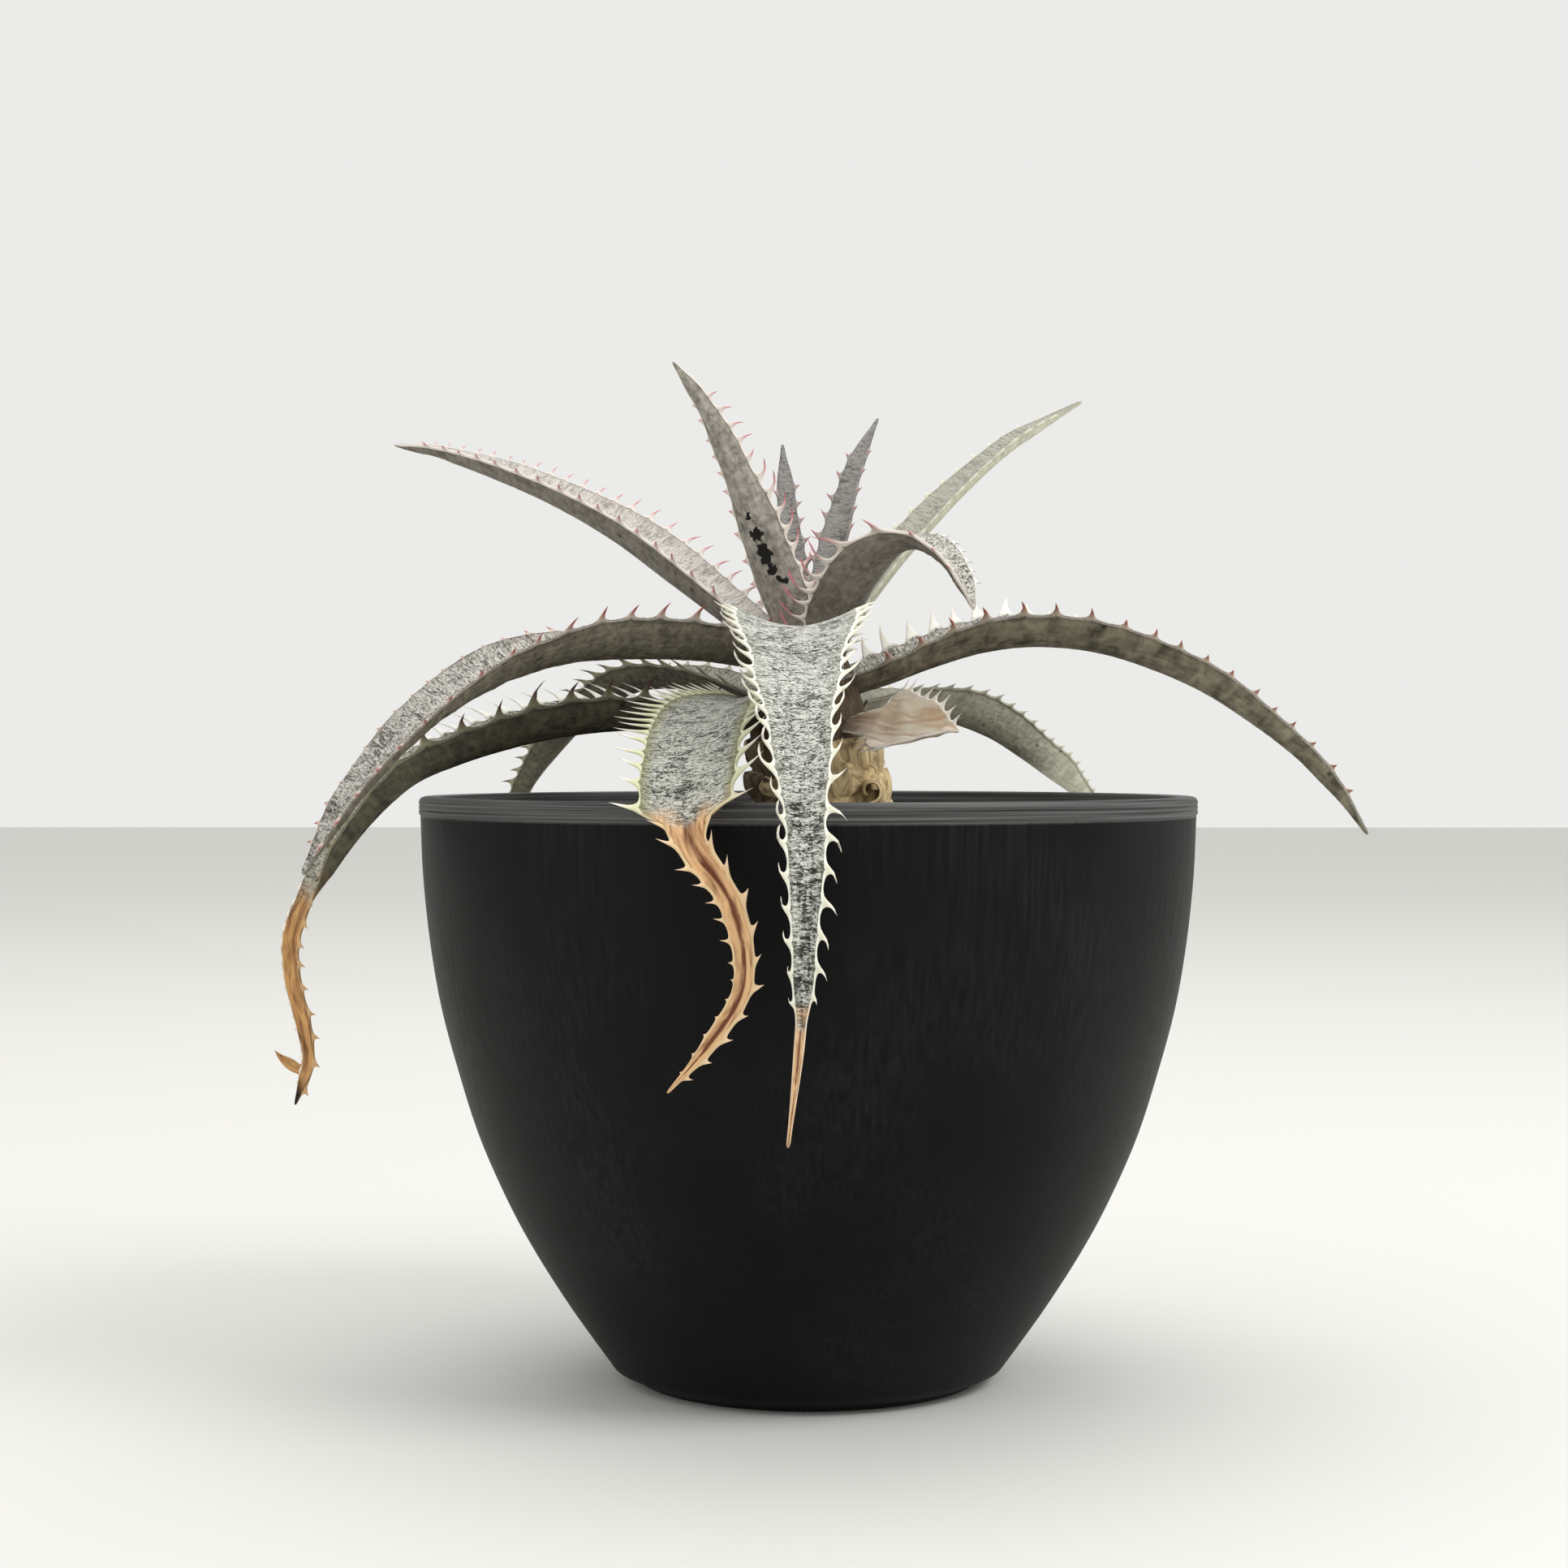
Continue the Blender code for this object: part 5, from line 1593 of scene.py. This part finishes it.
@dataclass
class Stem:
    """The short stem and the crown's core, wrapped in the dry bases of leaves that have been lost.

    The stem leans: its middle is at centre below upright_from, and over the origin above upright_to. The
    curl is a base that has rolled up at the front: its place and its radius. Left of dark_left_of, in the
    shade of the leaves, and above covered_from, under the crown, the stem is painted dark as shade.
    """

    centre: float = 3.5
    upright_from: float = 105.0
    upright_to: float = 128.0
    profile: tuple[tuple[float, float], ...] = (
        (92.8, 11.0), (100.0, 11.8), (108.0, 12.5), (120.0, 12.5), (128.0, 11.4), (134.0, 9.6), (140.0, 7.2),
        (144.0, 5.6), (148.0, 3.6), (149.0, 1.2),
    )
    rings: int = 60
    steps: int = 96
    bark_radius: float = 12.0
    covered_from: float = 116.5
    base_rows: tuple[float, ...] = (99.5, 105.5, 111.5, 117.0)
    bases_per_row: int = 4
    base_line: tuple[tuple[float, float], ...] = ((10.8, -3.0), (13.0, 0.5), (13.6, 4.2), (13.0, 7.0))
    curl: tuple[float, float, float, float] = (12.0, -12.2, 113.8, 1.7)
    curl_turns: tuple[tuple[float, float], ...] = (
        (-100, 1.5), (-60, 1.3), (-15, 1.1), (40, 1.0), (95, 1.0), (150, 1.0), (205, 0.9), (250, 0.7),
    )
    dark_left_of: float = -1.0
    seed: int = 31

    def lean(self, height: np.ndarray | float) -> np.ndarray:
        """Sideways place of the stem's middle at a height."""
        return np.interp(height, (self.upright_from, self.upright_to), (self.centre, 0.0))

    def build_core(self) -> bpy.types.Object:
        """Make the ridged stem, from inside the soil up to the crown.

        Returns:
            The stem's closed skin.
        """
        heights = np.linspace(self.profile[0][0], self.profile[-1][0], self.rings)
        radii = np.interp(heights, [z for z, _ in self.profile], [r for _, r in self.profile])
        obj = lathe("stem_in_old_bases", list(zip(radii, heights)), self.steps)
        mesh = obj.data
        place = read_points(mesh) / MM
        ridges = smooth_noise(place * [1.0, 1.0, 0.5], 5.0, self.seed) * 0.9
        ridges = ridges + smooth_noise(place, 1.6, self.seed) * 0.1
        grow = 1.0 + ridges / self.bark_radius
        place[:, 0] *= grow
        place[:, 1] *= grow
        place[:, 0] += self.lean(place[:, 2])
        move_points(mesh, place)
        round_stem = np.arctan2(place[:, 1], place[:, 0]) * self.bark_radius
        set_vectors(mesh, "leaf_mm", np.stack([round_stem, place[:, 2], place[:, 2] * 0], 1))
        # Painted shade: the stem darkens above covered_from, under the crown, and left of dark_left_of, in
        # the leaves' shade.
        crowned = (place[:, 2] - self.covered_from) / 3.0
        shaded = (self.dark_left_of - place[:, 0]) / 2.0
        fixed = {"dry": np.ones(len(place)), "heart": np.clip(np.maximum(crowned, shaded), 0, 1)}
        for name in LEAF_NUMBERS:
            set_floats(mesh, name, fixed.get(name, np.zeros(len(place))))
        close_skin(obj, 60)
        return obj

    def base_leaves(self) -> list[Leaf]:
        """Lay out the dry leaf bases that clasp the stem, in rows that step round it, and the curled one.

        Returns:
            The bases.
        """
        draw = np.random.default_rng(self.seed)
        found = []
        for row, height in enumerate(self.base_rows):
            for number in range(self.bases_per_row):
                turn = 360.0 / self.bases_per_row * (number + 0.5 * (row % 2)) + draw.uniform(-11, 11)
                angle = math.radians(turn)
                lift = draw.uniform(-1.6, 1.6)
                length = draw.uniform(0.75, 1.25)
                flare = draw.uniform(0.0, 0.7)
                stretches = ((0.0, 1.0), (0.0, 1.0), (flare, length), (3.5 * flare, length))
                points = []
                for (out, up), (outwards, stretch) in zip(self.base_line, stretches):
                    z = height + lift + up * stretch
                    reach = out + outwards
                    x = float(self.lean(z)) + reach * math.cos(angle)
                    points.append((x, reach * math.sin(angle), z))
                wide = draw.uniform(18.0, 23.0)
                found.append(
                    Leaf(
                        name=f"leaf_base_{row}_{number}", facing=turn, path=tuple(points),
                        width=((0, wide), (0.6, wide), (0.85, wide * 0.85), (1, wide * 0.5)), thickness=1.0,
                        tissue=Tissue.BASE, seed=100 + row * 10 + number, channel=((0, 0.56), (1, 0.5)),
                        dry=((0, 1), (1, 1)), crumple=((0, 0.3), (1, 0.6)), sheath=2.0, upper_columns=20,
                        # Bases left of dark_left_of get painted shade from their root; the others almost
                        # none.
                        lower_columns=14, heart_reach=60.0 if points[1][0] < self.dark_left_of else 0.1,
                    )
                )
        found.append(self.curled_base())
        return found

    def curled_base(self) -> Leaf:
        """Lay out the base that has rolled up at the stem's front.

        Returns:
            The base.
        """
        x, y, z, radius = self.curl
        ring = []
        for turn, grow in self.curl_turns:
            angle = math.radians(turn)
            ring.append((x + radius * grow * math.cos(angle), y, z + radius * grow * math.sin(angle)))
        return Leaf(
            name="curled_base", facing=0.0, path=tuple(ring), width=((0, 6.0), (0.6, 4.5), (1, 2.5)),
            thickness=0.8, tissue=Tissue.BASE, seed=99, channel=((0, 0), (1, 0.1)), dry=((0, 1), (1, 1)),
            crumple=((0, 0.2), (1, 0.2)), edge=0.5, sheath=2.0, upper_columns=12, lower_columns=8,
            heart_reach=0.1,
        )

    def build(self, materials: dict[Tissue, bpy.types.Material]) -> None:
        """Make the stem with its leaf bases joined to it.

        Args:
            materials: the material of each kind of tissue.
        """
        core = self.build_core()
        join_into(core, [leaf.build() for leaf in self.base_leaves()])
        finish_piece(core, materials[Tissue.BASE], "stem")


@dataclass
class Pot:
    """The moulded plastic pot: a flat rim band over a side that curves in to a small foot.

    Foot and side are measured points of the outside: the foot's radii and heights, and the side's depths
    under the rim and radii. Rim lines are the fine grooves round the band, as shares of its height.
    """

    height: float = 112.5
    rim_radius: float = 75.0
    rim_thickness: float = 4.0
    band_height: float = 3.4
    wall: float = 2.6
    floor: float = 3.5
    steps: int = 256
    groove: float = 0.16
    groove_half_width: float = 0.2
    rim_lines: tuple[float, ...] = (0.28, 0.54)
    foot: tuple[tuple[float, float], ...] = ((32.4, 0.0), (33.2, 0.2), (34.0, 0.75), (35.8, 1.7))
    side: tuple[tuple[float, float], ...] = (
        (109.8, 37.9), (104.5, 41.7), (97.0, 46.9), (87.4, 52.9), (77.9, 58.0), (65.3, 63.5), (52.7, 67.5),
        (40.2, 70.8), (27.8, 72.9), (15.3, 74.2), (4.0, 74.7),
    )

    def side_rings(self, count: int = 44) -> list[tuple[float, float]]:
        """Lay out rings up the outer side, on a smooth curve through its measured points.

        Args:
            count: how many rings.

        Returns:
            Each ring's radius and height.
        """
        points = tuple((radius, 0.0, self.height - depth) for depth, radius in self.side)
        curve = MidLine(points, 0.0, 0.0).line[1:]
        picked = np.linspace(0, len(curve) - 1, count).astype(int)
        return [(float(curve[i, 0]), float(curve[i, 2])) for i in picked]

    def profile(self) -> list[tuple[float, float]]:
        """Lay out every ring, from the foot up the outside, over the rounded rim and down the inside.

        Returns:
            Each ring's radius and height.
        """
        top, rim = self.height, self.rim_radius
        low = top - self.band_height
        outer = self.side_rings()
        rings = [*self.foot, *outer, (rim - 0.28, low - 0.12), (rim - 0.05, low + 0.1), (rim, low + 0.35)]
        for line in self.rim_lines:
            middle = low + self.band_height * line
            rings += [(rim, middle - self.groove_half_width), (rim - self.groove, middle)]
            rings += [(rim, middle + self.groove_half_width)]
        rings += [(rim, top - 1.0), (rim - 0.12, top - 0.55), (rim - 0.45, top - 0.18), (rim - 0.95, top)]
        inner = rim - self.rim_thickness
        rings += [(inner + 0.5, top), (inner + 0.12, top - 0.15), (inner, top - 0.5), (inner, low + 0.3)]
        rings += [(inner + 0.1, low), (rim - 0.3 - self.wall, low - 0.5)]
        rings += [(radius - self.wall, z) for radius, z in reversed(outer[2:-1]) if z > self.floor + 3]
        rings += [(38.0, self.floor + 0.8), (35.0, self.floor)]
        return rings

    def build(self, material: bpy.types.Material) -> None:
        """Turn the pot, close its floor and let it stand for its CAD node.

        Args:
            material: the pot's material.
        """
        obj = lathe("pot_shell", self.profile(), self.steps, fill="NGON")
        close_skin(obj, 32)
        finish_piece(obj, material, "pot")


@dataclass
class Soil:
    """Potting mix up to just under the rim: a lumpy bed with crumbs of bark and grit on it.

    No crumb lies within stem_gap of the stem's middle.
    """

    top: float = 101.5
    radius: float = 71.2
    depth: float = 96.0
    stem_gap: float = 13.0
    stem_centre: float = 3.5
    crumbs: int = 1500
    largest_crumb: float = 3.2
    seed: int = 41

    def bed_height(self, place: np.ndarray) -> np.ndarray:
        """Work out the bed's height, which falls off towards the pot's wall.

        Args:
            place: places, one row each, in millimetres.

        Returns:
            The height at each place.
        """
        flat = place * [1.0, 1.0, 0.0]
        lumps = smooth_noise(flat, 17.0, self.seed) * 1.0 + smooth_noise(flat, 4.5, self.seed + 1) * 0.55
        reach = np.hypot(place[:, 0], place[:, 1])
        return self.top + lumps - 0.9 * np.clip((reach - 60.0) / 12.0, 0, 1)

    def build_bed(self) -> bpy.types.Object:
        """Make the bed: a drum whose top is cut into rings and raised into lumps.

        Returns:
            The bed's closed skin.
        """
        radii = [self.radius - 1.6, self.radius, *np.linspace(self.radius - 0.6, 1.0, 52)]
        heights = [self.depth, self.top - 2.0, *([self.top] * 52)]
        obj = lathe("soil_and_crumbs", list(zip(radii, heights)), 150, fill="NGON")
        mesh = obj.data
        place = read_points(mesh) / MM
        raised = place[:, 2] > self.top - 0.5
        small_lumps = smooth_noise(place, 1.6, self.seed + 2)[raised] * 0.45
        place[raised, 2] = self.bed_height(place)[raised] + small_lumps
        move_points(mesh, place)
        set_floats(mesh, "crumb", np.clip(0.25 + smooth_noise(place, 1.5, self.seed + 3) * 0.35, 0, 0.7))
        close_skin(obj, 50)
        return obj

    def build_crumb(self, kind: int, draw: np.random.Generator) -> bpy.types.Object:
        """Model one crumb: a rounded stone or a flat chip of bark, about 1 mm in radius.

        Args:
            kind: 0 for a stone and 1 for a chip.
            draw: the seeded draw of its shape.

        Returns:
            The crumb's object, at the origin.
        """
        bpy.ops.object.select_all(action="DESELECT")
        if kind == 0:
            bpy.ops.mesh.primitive_ico_sphere_add(subdivisions=2, radius=MM)
            obj = start_primitive("stone_crumb")
        else:
            bpy.ops.mesh.primitive_cube_add(size=1.7 * MM, scale=(1.35, 0.85, 0.5))
            obj = start_primitive("bark_chip")
            bpy.ops.object.mode_set(mode="EDIT")
            bpy.ops.mesh.select_all(action="SELECT")
            bpy.ops.mesh.bevel(offset=0.28 * MM, segments=1)
            bpy.ops.object.mode_set(mode="OBJECT")
        for vertex in obj.data.vertices:
            vertex.co *= draw.uniform(0.82, 1.14)
        return obj

    def scatter(self) -> list[bpy.types.Object]:
        """Copy the crumbs over the bed, each with its own mesh, turn, size and colour number.

        Returns:
            The copies.
        """
        draw = np.random.default_rng(self.seed)
        kinds = [self.build_crumb(number % 2, draw) for number in range(6)]
        copies = []
        while len(copies) < self.crumbs:
            reach = (self.radius - 1.5) * math.sqrt(draw.uniform(0.0, 1.0))
            angle = draw.uniform(0, 2 * math.pi)
            x, y = reach * math.cos(angle), reach * math.sin(angle)
            turn = Matrix.Rotation(draw.uniform(0, 2 * math.pi), 4, Vector(draw.normal(size=3)).normalized())
            grow = float(draw.gamma(3.0, 0.42)) + 0.45
            shade = float(draw.uniform(0, 1))
            if math.hypot(x - self.stem_centre, y) < self.stem_gap:
                continue
            z = float(self.bed_height(np.array([[x, y, 0.0]]))[0]) + 0.25 * grow
            source = kinds[len(copies) % len(kinds)]
            mesh = source.data.copy()
            size = Matrix.Scale(min(grow, self.largest_crumb), 4)
            mesh.transform(Matrix.Translation((x * MM, y * MM, z * MM)) @ turn @ size)
            set_floats(mesh, "crumb", np.full(len(mesh.vertices), shade))
            copy = bpy.data.objects.new("crumb", mesh)
            bpy.context.collection.objects.link(copy)
            copies.append(copy)
        for source in kinds:
            bpy.data.objects.remove(source)
        return copies

    def build(self, material: bpy.types.Material) -> None:
        """Make the bed and its crumbs as one piece that stands for its CAD node.

        Args:
            material: the potting mix's material.
        """
        bed = self.build_bed()
        join_into(bed, self.scatter())
        finish_piece(bed, material, "soil")


class Lamp(Enum):
    """The studio's soft lamps: place in metres, size in metres and power in watts."""

    KEY = ((0.95, -0.55, 1.05), 0.8, 9.5)
    FILL = ((-1.2, -0.7, 0.55), 1.2, 2.2)
    TOP = ((-0.1, 0.35, 1.4), 1.2, 6.0)


@dataclass
class Studio:
    """Pale floor, soft lamps, an even pale surround and the camera."""

    camera_place: Point = (0.0, -0.560, 0.12125)
    camera_pitch: float = 89.34
    camera_turn: float = 0.476
    lens_mm: float = 66.19
    sensor_mm: float = 36.0
    floor_size: float = 8.0
    surround: str = "#f4f4f2"
    surround_power: float = 0.92
    target: Point = (0.0, 0.0, 0.1)

    def build_floor(self, material: bpy.types.Material) -> None:
        """Lay the floor under the pot.

        Args:
            material: the floor's material.
        """
        bpy.ops.object.select_all(action="DESELECT")
        bpy.ops.mesh.primitive_plane_add(size=self.floor_size)
        floor = start_primitive("studio_floor")
        floor.data.materials.append(material)

    def build_lamps(self) -> None:
        """Hang the soft lamps, each turned to the plant."""
        for lamp in Lamp:
            place, size, power = lamp.value
            light = bpy.data.lights.new(f"lamp_{lamp.name.lower()}", "AREA")
            light.shape = "DISK"
            light.size = size
            light.energy = power
            holder = bpy.data.objects.new(light.name, light)
            holder.location = place
            holder.rotation_euler = (Vector(self.target) - Vector(place)).to_track_quat("-Z", "Y").to_euler()
            bpy.context.collection.objects.link(holder)

    def build_surround(self) -> None:
        """Give the world an even pale light, and show the finishes' colours as they are."""
        world = bpy.data.worlds.new("pale_surround")
        world.use_nodes = True
        glow = world.node_tree.nodes["Background"]
        glow.inputs["Color"].default_value = linear(self.surround)
        glow.inputs["Strength"].default_value = self.surround_power
        bpy.context.scene.world = world
        bpy.context.scene.view_settings.view_transform = "Standard"

    def build_camera(self) -> None:
        """Set up the camera at the pot's own height, in front of it."""
        lens = bpy.data.cameras.new("camera")
        lens.lens = self.lens_mm
        lens.sensor_width = self.sensor_mm
        lens.clip_start = 0.01
        camera = bpy.data.objects.new("camera", lens)
        camera.location = self.camera_place
        camera.rotation_euler = (math.radians(self.camera_pitch), 0.0, math.radians(self.camera_turn))
        bpy.context.collection.objects.link(camera)
        bpy.context.scene.camera = camera


def main() -> None:
    logging.basicConfig(level=logging.INFO, format="%(name)s: %(message)s")
    materials = {tissue: tissue.value.build() for tissue in Tissue}
    Rosette().build(materials)
    Stem().build(materials)
    Pot().build(MouldedPlastic().build())
    Soil().build(PottingMix().build())
    studio = Studio()
    studio.build_floor(StudioPaper().build())
    studio.build_lamps()
    studio.build_surround()
    studio.build_camera()


if __name__ == "__main__":
    main()
